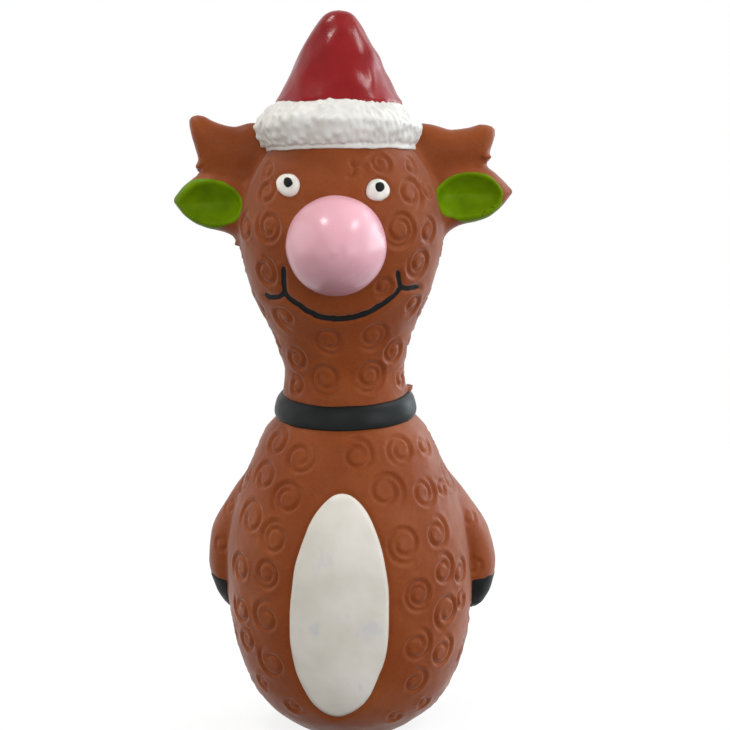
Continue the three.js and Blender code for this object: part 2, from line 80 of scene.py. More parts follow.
# [share of neck_height, share of the way from the neck's half width to the torso's]
neck_shares = [[0.09, 0.195], [0.165, 0.132], [0.28, 0.08], [0.6, 0.038], [1, 0]]
# [share of head_height, share of the way from the neck's half width to the head's, share of crown_lead]
cheek_shares = [
    [0.08, 0.095, 0.05], [0.166, 0.257, 0.15], [0.249, 0.476, 0.26], [0.331, 0.69, 0.38],
    [0.414, 0.833, 0.45], [0.496, 0.943, 0.51], [0.6, 1, 0.55],
]
# [share of head_height, share of head_half_width, share of head_half_depth, share of crown_lead]
crown_shares = [
    [0.7, 0.964, 0.97, 0.6], [0.79, 0.87, 0.915, 0.75], [0.87, 0.762, 0.82, 0.9], [0.94, 0.65, 0.7, 1],
    [1, 0.57, 0.57, 1],
]
# The casting isn't quite straight: [height, how far its middle lies to the right]
trunk_sway = [[0, 0.5], [24, 0.45], [48, 0], [92, -0.1], [104, -0.4], [116, -0.4], [130, 0], [crown_top, 0]]

# Skin
skin_wall = 2.2
foot_wall = 5.0
coat_thickness = 0.5

# Collar, raised at the back
collar_rise = 5.0
collar_z = torso_height + collar_rise
collar_band = 5.6
collar_half_width = 17.6
collar_tilt_deg = 3.2
# [share of collar_band from the middle, share of collar_half_width]
collar_shares = [[-0.5, 0.975], [-0.45, 0.99], [-0.3, 1], [0.2, 0.972], [0.42, 0.925], [0.5, 0.895]]

# Hat and trim, about an axis that leans back and a little to the right
hat_lean_deg, hat_roll_deg = 6.0, 1.3
trim_lean_deg, trim_drop, trim_shift = 9.5, 0.7, 0.2
hat_x, hat_lead = -0.5, 1.0
hat_half_width, hat_height = 15.2, 22.1
trim_half_width, trim_height = 20.4, 12.0
# [share of trim_height, share of hat_half_width]
hat_core_shares = [[-1, 1], [0.5, 1]]
# [share of hat_height, share of hat_half_width]
hat_shares = [
    [0, 1], [0.09, 0.928], [0.265, 0.8], [0.443, 0.676], [0.624, 0.537], [0.803, 0.391], [0.891, 0.3],
    [0.95, 0.222], [0.985, 0.13], [1, 0.02],
]
# [share of trim_height from the middle, share of trim_half_width]
trim_shares = [
    [-0.54, 0.79], [-0.42, 0.885], [-0.2, 0.972], [0.03, 1.01], [0.25, 0.945], [0.42, 0.83], [0.5, 0.755],
]

# Nose, a blunt egg along -Y whose widest ring lies nose_lead in front of the face
nose_x, nose_up_share = -1.3, 0.567
nose_z = neck_top + nose_up_share * head_height
nose_radius, nose_reach, nose_root, nose_lead = 11.8, 15.5, 11.0, 1.5
# [share of nose_reach in front of the widest ring, or of nose_root behind it, share of nose_radius]
nose_shares = [
    [-1, 0.7], [-0.5, 0.92], [0, 1], [0.2, 0.975], [0.4, 0.885], [0.58, 0.755], [0.74, 0.6], [0.87, 0.43],
    [0.96, 0.24], [1, 0.04],
]

# Arms
arm_drop, arm_length, hoof_length = 10.0, 38.5, 7.9
arm_top = torso_height - arm_drop
arm_x, arm_y, arm_shift = 30.6, 4.0, 0.8
arm_half_width, arm_half_depth = 5.7, 7.6
arm_fillet = 1.2
hoof_top = arm_top - arm_length + hoof_length
hoof_slant, hoof_margin, hoof_steepness = 0.16, 0.3, 4
left_arm_rise = 1.0
# [share of arm_length from the tip, shares of arm_x on the left and on the right, share of arm_half_width,
# share of arm_half_depth]
arm_shares = [
    [0, 0.965, 0.992, 0.25, 0.3], [0.035, 0.957, 0.986, 0.56, 0.6], [0.135, 0.97, 0.995, 0.86, 0.88],
    [0.3, 0.996, 1.008, 1, 1], [0.5, 0.972, 0.963, 0.99, 0.99], [0.74, 0.835, 0.807, 0.87, 0.86],
    [1, 0.65, 0.622, 0.5, 0.45],
]

# Ears, each a leaf with a cup in its front
ear_root, ear_y, ear_half_height, ear_half_depth = 17.0, 0.0, 7.3, 6.0
ear_fillet = 2.5
cup_half_length, cup_half_height, cup_depth = 8.4, 6.6, 5.0
cup_fillet, cup_fold, cup_least_reach = 0.6, 1.35, 0.05
ears = [
    {"name": "left", "side": -1, "reach": 41.3, "up_share": 0.705, "cup_share": 0.66, "cup_up_share": 0.7},
    {"name": "right", "side": 1, "reach": 42.0, "up_share": 0.718, "cup_share": 0.592, "cup_up_share": 0.718},
]
# [share of the way from ear_root to the tip, share of ear_half_height, share of ear_half_depth, rise in
# shares of ear_half_height]
ear_shares = [
    [0, 1.1, 0.8, -0.4], [0.33, 1.12, 0.96, -0.2], [0.47, 1.04, 1, -0.05], [0.6, 0.985, 1, 0.015],
    [0.76, 0.82, 0.9, 0.03], [0.89, 0.49, 0.62, 0.02], [1, 0.06, 0.1, 0.04],
]

# Antlers
antler_root, antler_up_share, antler_height = 15.0, 0.769, 17.1
antler_z = neck_top + antler_up_share * head_height
antler_y, antler_half_depth, antler_fillet = 2.2, 4.8, 2.5
antlers = [
    {"side": -1, "reach": 37.1, "droop_share": 0.0},
    {"side": 1, "reach": 38.0, "droop_share": 0.22},
]
# [share of the way from antler_root to the tip, lower and upper edge in shares of antler_height,
# share of antler_half_depth]
antler_shares = [
    [0, -0.2, 0.86, 0.9], [0.32, -0.1, 0.877, 1], [0.52, 0, 0.83, 0.97], [0.68, 0.07, 0.885, 0.93],
    [0.815, 0.14, 0.975, 0.85], [0.887, 0.27, 1, 0.78], [0.93, 0.47, 0.995, 0.65], [0.97, 0.65, 0.975, 0.45],
    [1, 0.82, 0.93, 0.12],
]

# Bore for the squeaker
flange_bore_radius, flange_bore_depth = 9.8, 2.0
barrel_bore_radius, bore_overrun = 8.3, 1.0

# The camera of the photograph: the point that it aims at, how far off it stands, how steeply it looks down,
# how far it is rolled in radians, and its focal length in the pixels of the picture
aim = np.array([5.0467, 0.0, 92.459])
camera_distance = 600.0
camera_elevation = math.radians(10)
camera_roll = 0.016905
picture = 730
focal_px = 2406.72


# How near its axis a loft tells reaches apart, every how many rings are boxed, and a field's least slope
least_reach, box_stride, least_slope = 0.02, 10, 0.2


def numbers(*values):
    return np.array(values, float)


def smooth_rows(rows, samples=500):
    """Rows of [place, value, ...] sampled along a smooth curve through them that doesn't overshoot."""
    table = np.array(rows, float)
    at, values = table[:, 0], table[:, 1:]
    spans = np.diff(at)[:, None]
    slopes = np.diff(values, axis=0) / spans
    product, total = slopes[1:] * slopes[:-1], slopes[1:] + slopes[:-1]
    level = np.abs(total) < TINY
    inner = np.where((product > 0) & ~level, 2 * product / np.where(level, 1, total), 0)
    tangents = np.vstack([slopes[:1], inner, slopes[-1:]])
    fine = np.linspace(at[0], at[-1], samples)
    i = np.clip(np.searchsorted(at, fine, side="right") - 1, 0, len(at) - 2)
    span = spans[i]
    t = (fine - at[i])[:, None] / span
    start, end = (2 * t**3 - 3 * t**2 + 1), (3 * t**2 - 2 * t**3)
    leave, arrive = (t**3 - 2 * t**2 + t) * span, (t**3 - t**2) * span
    curve = start * values[i] + end * values[i + 1] + leave * tangents[i] + arrive * tangents[i + 1]
    return np.column_stack([fine, curve])


class Loft:
    """A smooth form through elliptic rings [along, x, y, half width, half depth] of a frame of its own."""

    def __init__(self, rows, origin=(0, 0, 0), axes=np.eye(3)):
        self.table = smooth_rows(rows)
        self.origin = np.array(origin, float)
        self.axes = np.array(axes, float)
        self.slopes = np.gradient(self.table[:, 3:], self.table[:, 0], axis=0)
        corners = []
        for along, x, y, wide, deep in self.table[::box_stride]:
            corners += [[x - wide, y - deep, along], [x + wide, y + deep, along]]
            corners += [[x - wide, y + deep, along], [x + wide, y - deep, along]]
        corners = self.outwards(np.array(corners))
        self.low, self.high = corners.min(0), corners.max(0)

    def outwards(self, local):
        return local @ self.axes + self.origin

    def inwards(self, points):
        return (points - self.origin) @ self.axes.T

    def distance(self, points):
        """About how far points lie outside the form; less than 0 inside it."""
        local = self.inwards(points)
        along = np.clip(local[:, 2], self.table[0, 0], self.table[-1, 0])
        x, y, wide, deep = (np.interp(along, self.table[:, 0], column) for column in self.table[:, 1:].T)
        wide_slope, deep_slope = (np.interp(along, self.table[:, 0], column) for column in self.slopes.T)
        dx, dy = local[:, 0] - x, local[:, 1] - y
        u, v = dx / wide, dy / deep
        reach = np.maximum(np.hypot(u, v), least_reach)
        radial = np.where(reach > least_reach, np.hypot(dx, dy) * (1 - 1 / reach), -np.minimum(wide, deep))
        slope = (wide_slope * u**2 + deep_slope * v**2) / reach**2
        side = radial / np.hypot(1, slope)
        end = np.maximum(self.table[0, 0] - local[:, 2], local[:, 2] - self.table[-1, 0])
        outside = np.hypot(np.maximum(side, 0), np.maximum(end, 0))
        return np.where(outside > 0, outside, np.maximum(side, end))

    def near(self, points, margin):
        return np.all((points > self.low - margin) & (points < self.high + margin), axis=1)


def between(low, high, share):
    return low + (high - low) * share


def trunk_rows():
    rows = []

    def add(z, half_width, half_depth, lead=0.0):
        sway = np.interp(z, *np.array(trunk_sway, float).T)
        rows.append([z, sway, -lead, half_width, half_depth])

    for up, full in belly_shares:
        width = between(foot_half_width, torso_half_width, full)
        add(up * torso_height, width, between(foot_half_width, torso_half_depth, full))
    necked = [(up * torso_height, full) for up, full in shoulder_shares]
    necked += [(torso_height + up * neck_height, full) for up, full in neck_shares]
    for z, full in necked:
        width = between(neck_half_width, torso_half_width, full)
        add(z, width, between(neck_half_depth, torso_half_depth, full))
    for up, full, lead in cheek_shares:
        width = between(neck_half_width, head_half_width, full)
        depth = between(neck_half_depth, head_half_depth, full)
        add(neck_top + up * head_height, width, depth, lead * crown_lead)
    for up, wide, deep, lead in crown_shares:
        add(neck_top + up * head_height, wide * head_half_width, deep * head_half_depth, lead * crown_lead)
    return rows


def round_loft(shares, length, radius, origin, axes, start=0.0):
    """A round form along its own axis from rows of [share of length, share of radius]."""
    rows = [[start + up * length, 0, 0, wide * radius, wide * radius] for up, wide in shares]
    return Loft(rows, origin, axes)


def turned(axis, degrees):
    """Rows that are the unit axes of a frame turned about a world axis."""
    return np.array(Matrix.Rotation(math.radians(degrees), 3, axis).transposed())


def sideways(side):
    """A frame whose length runs out to one side, its width up and its depth back."""
    return [[0, 0, 1], [0, 1, 0], [side, 0, 0]]


trunk = Loft(trunk_rows())


def front_of_trunk(x, z):
    table = trunk.table
    middle, lead, wide, deep = (np.interp(z, table[:, 0], table[:, i]) for i in (1, 2, 3, 4))
    across = np.clip((x - middle) / wide, -1, 1)
    return lead - deep * np.sqrt(1 - across**2)


nose_front = front_of_trunk(nose_x, nose_z) - nose_lead
hat_origin = numbers(hat_x, -hat_lead, crown_top)


def leaning(lean_deg):
    """Rows that are the unit axes of a frame that leans back and is rolled as the hat is."""
    lean = Matrix.Rotation(-math.radians(lean_deg), 3, "X")
    roll = Matrix.Rotation(math.radians(hat_roll_deg), 3, "Y")
    return np.array((lean @ roll).transposed())


hat_axes, trim_axes = leaning(hat_lean_deg), leaning(trim_lean_deg)
trim_origin = hat_origin + numbers(trim_shift, 0, -trim_drop)
collar_axes = turned("X", collar_tilt_deg)


def nose_loft():
    rows = []
    for out, wide in nose_shares:
        along = out * (nose_root if out < 0 else nose_reach)
        rows.append([along, 0, 0, wide * nose_radius, wide * nose_radius])
    return Loft(rows, (nose_x, nose_front, nose_z), [[1, 0, 0], [0, 0, 1], [0, -1, 0]])


def arm_loft(side):
    rows = []
    tip = arm_top - arm_length + (left_arm_rise if side < 0 else 0)
    for up, left, right, wide, deep in arm_shares:
        x = (right if side > 0 else -left) * arm_x + arm_shift
        rows.append([tip + up * arm_length, x, arm_y, wide * arm_half_width, deep * arm_half_depth])
    return Loft(rows)


def ear_loft(ear):
    middle = neck_top + ear["up_share"] * head_height
    rows = []
    for out, high, deep, rise in ear_shares:
        along, height = between(ear_root, ear["reach"], out), middle + rise * ear_half_height
        rows.append([along, height, ear_y, high * ear_half_height, deep * ear_half_depth])
    return Loft(rows, axes=sideways(ear["side"]))


def antler_loft(antler):
    rows = []
    for out, low, high, deep in antler_shares:
        height = antler_height * (1 - antler["droop_share"] * out)
        middle = antler_z + (low + high) / 2 * height
        half_height = (high - low) / 2 * height
        along = between(antler_root, antler["reach"], out)
        rows.append([along, middle, antler_y, half_height, deep * antler_half_depth])
    return Loft(rows, axes=sideways(antler["side"]))


nose = nose_loft()
hat = round_loft(hat_shares, hat_height, hat_half_width, hat_origin, hat_axes, trim_height / 2)
hat_core = round_loft(hat_core_shares, trim_height, hat_half_width, hat_origin, hat_axes)
trim = round_loft(trim_shares, trim_height, trim_half_width, trim_origin, trim_axes)
collar = round_loft(collar_shares, collar_band, collar_half_width, (0, 0, collar_z), collar_axes)
arms = [arm_loft(side) for side in (-1, 1)]
ear_lofts = [ear_loft(ear) for ear in ears]
antler_lofts = [antler_loft(antler) for antler in antlers]


def smooth_least(a, b, fillet):
    """The lesser of two distances, with a fillet where they meet."""
    share = np.clip(0.5 + 0.5 * (b - a) / fillet, 0, 1)
    return b + (a - b) * share - fillet * share * (1 - share)


def cup_distance(ear, points):
    """How far points lie outside an ear's cup, which is folded along its middle."""
    across = ear["side"] * between(ear_root, ear["reach"], ear["cup_share"])
    middle = numbers(across, ear_y - ear_half_depth, neck_top + ear["cup_up_share"] * head_height)
    halves = numbers(cup_half_length, cup_depth, cup_half_height)
    along, back, up = np.abs((points - middle) / halves).T
    fold = np.maximum((back**cup_fold + up**cup_fold) ** (1 / cup_fold), TINY)
    reach = np.maximum(np.hypot(along, fold), cup_least_reach)
    rates = np.stack([along, *(fold * (part / fold) ** (cup_fold - 1) for part in (back, up))], 1) / halves
    return (reach - 1) * reach / np.maximum(np.linalg.norm(rates, axis=1), TINY)


limb_fillets = [(arms, arm_fillet), (ear_lofts, ear_fillet), (antler_lofts, antler_fillet)]
core_sink, trim_core_sink, limb_far = 0.35, 1.0, 8.0


def outside(points):
    """Distance outside the casting's outer surface."""
    distance = trunk.distance(points)
    for lofts, fillet in limb_fillets:
        for loft in lofts:
            near = loft.near(points, limb_far)
            distance[near] = smooth_least(distance[near], loft.distance(points[near]), fillet)
    sinks = [(loft, core_sink) for loft in (nose, hat, hat_core, collar)]
    for loft, sink in [*sinks, (trim, trim_core_sink)]:
        near = loft.near(points, limb_far)
        distance[near] = np.minimum(distance[near], loft.distance(points[near]) + sink)
    for ear in ears:
        distance = -smooth_least(-distance, cup_distance(ear, points), cup_fillet)
    return distance


def hollow(points):
    """Distance outside the space that the filling takes."""
    inner = trunk.distance(points) + skin_wall
    for loft in (nose, hat, hat_core):
        inner = np.minimum(inner, loft.distance(points) + core_sink + skin_wall)
    return np.maximum(inner, foot_wall - points[:, 2])


def skin_field(points):
    """Distance outside the latex of the casting, with its hollow and its bore."""
    radius = np.hypot(points[:, 0], points[:, 1])
    flange_bore = np.maximum(radius - flange_bore_radius, points[:, 2] - flange_bore_depth)
    barrel_bore = np.maximum(radius - barrel_bore_radius, points[:, 2] - foot_wall - bore_overrun)
    taken = np.minimum(np.minimum(flange_bore, barrel_bore), hollow(points))
    return np.maximum(outside(points), -taken)


def surface_net(field, low, high, step):
    """The surface where a field is zero, as triangles that face out: a vertex in each cell it crosses."""
    lines = [np.arange(start - step, stop + 2 * step, step) for start, stop in zip(low, high)]
    nodes = np.stack(np.meshgrid(*lines, indexing="ij"), -1)
    value = field(nodes.reshape(-1, 3)).reshape(nodes.shape[:3])
    cells = tuple(n - 1 for n in value.shape)
    total, count, crossings = np.zeros((*cells, 3)), np.zeros(cells), []
    for axis in range(3):
        others = [i for i in range(3) if i != axis]
        near, far = (np.take(value, range(k, value.shape[axis] - 1 + k), axis) for k in (0, 1))
        crossed = (near < 0) != (far < 0)
        share = np.where(crossed, near / np.where(crossed, near - far, 1), 0)
        place = np.take(nodes, range(value.shape[axis] - 1), axis).copy()
        place[..., axis] += share * step
        for shift in ((0, 0), (0, 1), (1, 0), (1, 1)):
            window = [slice(None)] * 3
            for other, by in zip(others, shift):
                window[other] = slice(by, by + cells[other])
            window = tuple(window)
            total += place[window] * crossed[window][..., None]
            count += crossed[window]
        crossings.append((axis, others, crossed, near < 0))
    mixed = count > 0
    number = np.full(cells, -1)
    number[mixed] = np.arange(mixed.sum())
    points = total[mixed] / count[mixed][:, None]
    quads = []
    for axis, others, crossed, inside_first in crossings:
        found = np.argwhere(crossed)
        for other in others:
            found = found[(found[:, other] > 0) & (found[:, other] < cells[other])]
        around = []
        for shift in ((1, 1), (0, 1), (0, 0), (1, 0)):
            cell = found.copy()
            for other, by in zip(others, shift):
                cell[:, other] -= by
            around.append(number[tuple(cell.T)])
        quad = np.stack(around, 1)
        outward = inside_first[tuple(found.T)] != (axis == 1)
        quads.append(np.where(outward[:, None], quad, quad[:, ::-1]))
    quads = np.vstack(quads)
    a, b, c, d = (points[quads[:, i]] for i in range(4))
    other_way = np.linalg.norm(a - c, axis=1) > np.linalg.norm(b - d, axis=1)
    quads[other_way] = np.roll(quads[other_way], 1, axis=1)
    return points, np.vstack([quads[:, [0, 1, 2]], quads[:, [0, 2, 3]]])


def slope_of(field, points, reach=0.05):
    """The way that a field grows fastest at each point, and its value there."""
    corners = numbers([1, 1, 1], [1, -1, -1], [-1, 1, -1], [-1, -1, 1])
    values = [field(points + corner * reach) for corner in corners]
    gradient = sum(corner * value[:, None] for corner, value in zip(corners, values)) / (len(corners) * reach)
    return gradient, sum(values) / len(corners)


def unit(vectors):
    return vectors / np.maximum(np.linalg.norm(vectors, axis=-1, keepdims=True), TINY)


def settled(field, points, times=2, most=0.6):
    """Points moved onto the surface where a field is zero."""
    for _ in range(times):
        gradient, value = slope_of(field, points)
        move = -value[:, None] * gradient / np.maximum((gradient**2).sum(1), least_slope)[:, None]
        size = np.maximum(np.linalg.norm(move, axis=1), TINY)
        points = points + move * np.minimum(1, most / size)[:, None]
    return points


def edges_of(triangles):
    """Each edge once, and for each triangle the edges that follow its corners."""
    pairs = np.stack([triangles, np.roll(triangles, -1, axis=1)], -1)
    pairs.sort(axis=-1)
    size = int(triangles.max()) + 1
    keys, index = np.unique(pairs[..., 0].astype(np.int64) * size + pairs[..., 1], return_inverse=True)
    return np.stack([keys // size, keys % size], 1), index.reshape(-1, 3)


def relaxed(points, triangles, share=0.5):
    """Points moved part of the way to the middle of their neighbours."""
    edges, _ = edges_of(triangles)
    ends, others = np.concatenate([edges, edges[:, ::-1]]).T
    count = np.maximum(np.bincount(ends, minlength=len(points)), 1)
    total = np.stack([np.bincount(ends, points[others, i], len(points)) for i in range(3)], 1)
    return points + (total / count[:, None] - points) * share


def refined(points, triangles, too_long):
    """Triangles whose edges are halved where too_long says so, with the neighbours cut to fit."""
    edges, edge_of = edges_of(triangles)
    start, end = points[edges[:, 0]], points[edges[:, 1]]
    length = np.linalg.norm(end - start, axis=1)
    halved = too_long(edges, (start + end) / 2, length)
    longest = length[edge_of].argmax(1)
    rows = np.arange(len(triangles))
    while True:
        pulled = halved[edge_of].any(1) & ~halved[edge_of[rows, longest]]
        if not pulled.any():
            break
        halved[edge_of[rows[pulled], longest[pulled]]] = True
    middle = np.full(len(edges), -1)
    middle[halved] = len(points) + np.arange(halved.sum())
    points = np.vstack([points, (start + end)[halved] / 2])
    order = (longest[:, None] + np.arange(3)) % 3
    a, b, c = np.take_along_axis(triangles, order, 1).T
    ab, bc, ca = middle[np.take_along_axis(edge_of, order, 1)].T
    first, second, third = ab >= 0, bc >= 0, ca >= 0
    cuts = [
        (~first, [(a, b, c)]),
        (first & ~second & ~third, [(a, ab, c), (ab, b, c)]),
        (first & second & ~third, [(a, ab, c), (ab, b, bc), (ab, bc, c)]),
        (first & ~second & third, [(ab, b, c), (a, ab, ca), (ab, c, ca)]),
        (first & second & third, [(a, ab, ca), (ab, b, bc), (ca, bc, c), (ab, bc, ca)]),
    ]
    made = [np.stack(corners, 1)[chosen] for chosen, pieces in cuts for corners in pieces]
    return points, np.vstack(made)


# Camera, in the toy's own frame
look = numbers(0, math.cos(camera_elevation), -math.sin(camera_elevation))
level_up = numbers(0, math.sin(camera_elevation), math.cos(camera_elevation))
level_right = numbers(1, 0, 0)
picture_right = level_right * math.cos(camera_roll) - level_up * math.sin(camera_roll)
picture_up = level_right * math.sin(camera_roll) + level_up * math.cos(camera_roll)
eye_point = aim - camera_distance * look
search_depth, search_step = 60, 0.5


def sight(places):
    """Unit rays from the camera through places [x, y] in the picture."""
    across = (np.array(places, float)[:, 0] - picture / 2) / focal_px
    up = (picture / 2 - np.array(places, float)[:, 1]) / focal_px
    return unit(look + across[:, None] * picture_right + up[:, None] * picture_up)


def seen_on(field, places):
    """The first points of a surface behind places in the picture, and which rays meet it."""
    rays = sight(places)
    reach = np.arange(camera_distance - search_depth, camera_distance + search_depth, search_step)
    value = field((eye_point + rays[:, None] * reach[:, None]).reshape(-1, 3)).reshape(len(rays), -1)
    hit = value < 0
    first = np.maximum(hit.argmax(1), 1)
    rows = np.arange(len(rays))
    before, after = value[rows, first - 1], value[rows, first]
    at = reach[first - 1] + search_step * before / (before - after)
    return eye_point + rays * at[:, None], hit.any(1)


# Curls pressed into the casting, as seen in the photograph:
# [x, y, radius in mm, outer end's bearing in degrees, turns inwards, counterclockwise if positive]
head_curls = [
    [266, 191, 3.3, 45, -1.1], [267, 172, 2.4, 120, -1.0], [268.9, 226.8, 4.1, 130, 1.6],
    [246.1, 226.9, 3.5, 90, 1.1], [265.5, 272.1, 3.9, 100, -1.2], [382.3, 162.9, 2.9, 100, 1.4],
    [356, 157, 3.4, 10, -0.45], [347, 172, 2.2, 80, -0.5], [410.5, 166.1, 2.4, 120, -1.1],
    [410.5, 193.2, 4.1, -50, 1.2], [400.7, 229, 4.5, -140, 1.8],
    [427.8, 190, 2.6, 100, 1.1], [427.8, 231.2, 3.3, 100, -1.1], [419, 263, 3.9, 150, 1.5],
    [382.9, 287.4, 2.6, -120, 1.3], [412.2, 305.3, 2.8, -130, 1.3], [373.9, 335.9, 3.9, -145, 1.75],
    [329.3, 341, 3.8, -45, -1.4], [284.6, 318, 3.4, -60, -1.3], [394.3, 351.2, 3.4, 70, 1.4],
    [296.1, 358.8, 3.3, 100, -1.2], [325.5, 379.2, 4.2, -50, -1.5], [370.1, 375.4, 4.2, -140, 1.75],
    [296.1, 385.6, 2.7, 100, -1.1], [400.7, 379.2, 2.5, 80, 1.1],
]
left_curls = [
    [276.4, 441.4, 4.0, 70, -1.1], [299.6, 457.5, 4.2, 40, -1.4], [264.8, 477.1, 4.3, 180, -1.1],
    [287.1, 498.6, 4.6, -113, -1.6], [251.4, 518.2, 5.0, 180, -1.1], [273.8, 537.9, 4.2, 60, 1.5],
    [240.4, 568.6, 4.2, -150, -1.2], [266.3, 573.3, 3.9, -150, 1.5], [266.3, 618.1, 4.4, 85, 1.1],
    [241.6, 608.7, 3.8, 150, 1.1], [246.3, 639.3, 3.5, 100, -1.1], [272.2, 662.9, 4.4, 130, 1.1],
    [264, 683, 2.2, 90, 1.0], [294.6, 706.5, 2.4, 100, 1.0],
]
right_curls = [
    [356.7, 455.1, 4.3, 130, -1.3], [401.1, 449.7, 4.2, -95, -1.4], [422.8, 444.3, 3.0, 60, -0.9],
    [386, 490.9, 4.9, -41, 1.3], [423.9, 492, 4.0, 75, -1.4], [442.3, 488.7, 2.0, 90, 1.0],
    [404.4, 544, 4.9, -60, -1.5], [436.9, 533.2, 4.2, 95, -1.2], [443.5, 570, 4.0, 100, -1.2],
    [419, 594.4, 4.2, -56, -1.75], [447.1, 611.2, 4.7, -107, -1.2], [416.7, 646.1, 4.4, 75, -1.2],
    [441.5, 651.7, 4.2, 70, -1.2], [414.5, 682.1, 3.6, 80, -1.1], [424.6, 702.3, 2.0, 90, 1.0],
    [461.7, 600, 2.5, 90, 1.0], [459.5, 571.9, 3.5, 100, -1.1], [395.4, 716.9, 2.0, 80, 1.0],
]
arm_curls = [
    [220.5, 543, 2.3, 60, -1.1], [230.5, 505, 2.2, 120, 1.0], [475.5, 565, 2.4, 110, 1.1],
    [469, 517, 2.2, 60, -1.0],
]
curl_shrink_share, arm_curl_share = 0.62, 0.55
curl_steps = 30
# The curls' grooves fade in from their outer ends, fade out at their inner ends and never quite vanish.
curl_start_share, curl_end_share, curl_least_share = 0.12, 0.1, 0.25
# How far past its radius a curl is felt, and how it fades away from the form that carries it
curl_reach, form_clear, form_fade = 2.5, 1.5, 0.4
# Curls that fill the sides and back: where they may lie, and how large and long they are
fill_seed, fill_gap = 7, 1.15
fill_above_foot, fill_below_collar, fill_above_collar, fill_below_crown = 7, 8, 7, 12
fill_least_turn, fill_off_limbs, fill_on_trunk = -0.2, 2.5, 0.05
fill_radii, fill_turns = (3.3, 4.7), (1.1, 1.7)
fill_right = (0.1, 0.2, 1)

# Ridges across the surface, and grooves where the rise is negative: [place from an edge, half width, rise]
ridges = {
    "curl": (0, 0.54, -0.46), "curl lip": (1.1, 0.5, 0.2), "belly": (0.1, 0.55, -0.4),
    "mouth": (0, 0.8, -0.45), "lips": (1.5, 0.6, 0.12), "eyes": (0.15, 0.4, -0.3),
    "trim lip": (0.6, 0.38, 0.5), "trim groove": (1.5, 0.4, -0.15),
}
# Soft unevenness of what is made by hand: [rise, wave in mm, seed]
unevenness = {
    "mouth": (0.06, 2.2, 3), "eye": (0.05, 2.5, 5), "pupil": (0.1, 1.6, 9), "belly": (0.1, 9, 11),
    "hoof": (0.35, 5, 13), "lining": (0.05, 3, 17), "skin": (0.06, 11, 21), "skin grain": (0.025, 4, 23),
    "flash": (0.4, 2, 25), "nose": (0.05, 9, 31), "hat": (0.2, 13, 33), "hat dents": (0.09, 5, 35),
    "trim grain": (0.08, 3, 37), "trim": (0.12, 12, 39), "collar": (0.08, 8, 43), "filling": (0.5, 9, 51),
    "filling tufts": (0.25, 4, 53),
}

# Places in the photograph, [x, y] in its pixels
mm_per_px = 0.2493
mouth_px, mouth_reach_px = [341, 294], [85, 35]
smile_px = [
    [284, 293], [289, 298.5], [297, 304], [311, 313], [324, 318], [337, 319.3], [351, 318], [366, 313.5],
    [381, 305.5], [392, 297.5], [401.5, 287.5],
]
left_tick_px = [[283.4, 268.3], [283.6, 281], [284, 293]]
left_tail_px = [[284, 293], [277, 297.5], [270, 297.5], [265.5, 294.6]]
right_tick_px = [[398.2, 272.1], [399.2, 280], [401.5, 287.5]]
right_tail_px = [[401.5, 287.5], [408, 288.6], [418.4, 287]]
smile_width_px, corner_width_px = 5.4, 4.8
# How much narrower a stroke is at its ends, how late it narrows, and the fillet between strokes in mm
stroke_taper, stroke_power, stroke_fillet = 0.25, 6, 0.4
sides = ("left", "right")
# Eggs painted on the front: [middle in pixels, half width and half height, tilt in degrees, taper share]
eggs = {
    "eye left": ([288.2, 184.6], [11.8, 11.3], 50, 0.1), "eye right": ([378, 189.7], [12.1, 11.2], -12, 0.1),
    "pupil left": ([287.9, 182.4], [4.3, 5.2], -12, 0), "pupil right": ([379.9, 187.1], [4.6, 5.2], 6, 0),
    "belly": ([339.6, 605.5], [50.2, 111.5], 1.2, 0.1),
}
# Scraps of latex left where the mould parts, [x, y, half width, half height] in the photograph's pixels
flash_px = [[201, 168, 5, 6], [239.5, 243, 5, 4], [485, 156, 3, 4], [408, 389, 3.5, 3]]
flash_rise, flash_base, flash_power = 1.8, 0.7, 4
flash_y = [-2.5, 6.5]
# How far above the foot and outside the belly's coat the relief is whole
foot_calm, belly_calm = 1.5, 1.5
# An ear's coat: its least reach past ear_root, how far behind ear_y it goes, how that leans back with height,
# and how far it runs out of the cup
lining_root, lining_depth, lining_slant, lining_overlap = 4, 0.5, 0.12, 0.5
lining_px = {
    "left": [
        [173, 198], [178, 189], [188, 181], [201, 178], [214, 179], [226, 182.5], [235.5, 190], [241, 199],
        [240.5, 209], [235, 219], [225, 226], [213, 230.5], [203, 227.5], [191, 221], [179, 210],
    ],
    "right": [
        [441.3, 201], [443, 190], [449, 181], [460, 175], [474, 173], [487, 173.5], [494, 178.5], [500, 187],
        [503, 197], [501.5, 208], [492, 216], [480, 222], [467, 223], [456, 220.5], [448, 215], [443, 208],
    ],
}
far_off, ripple_spread = 20.0, (0.7, 1.4)


def in_picture(points):
    """Where points show in the photograph, in its pixels."""
    offset = points - eye_point
    depth = offset @ look
    across, down = offset @ picture_right / depth, -(offset @ picture_up) / depth
    return picture / 2 + focal_px * np.stack([across, down], 1)


def ripple(points, wave, seed, count=10):
    """A soft random field between about -1 and 1 whose bumps are about a wave long."""
    draw = np.random.default_rng(seed)
    ways = unit(draw.normal(size=(count, 3))) * draw.uniform(*ripple_spread, (count, 1)) * 2 * np.pi / wave
    return np.sin(points @ ways.T + draw.uniform(0, 2 * np.pi, count)).sum(1) / math.sqrt(count)


def uneven(points, what):
    """The unevenness of a named part at points in rows, or in a grid of rings."""
    rise, wave, seed = unevenness[what]
    return rise * ripple(points.reshape(-1, 3), wave, seed).reshape(points.shape[:-1])


def ridge(distance, what):
    """How far a named ridge raises what lies at a distance from its edge."""
    place, half_width, rise = ridges[what]
    return rise * np.exp(-(((distance - place) / half_width) ** 2))


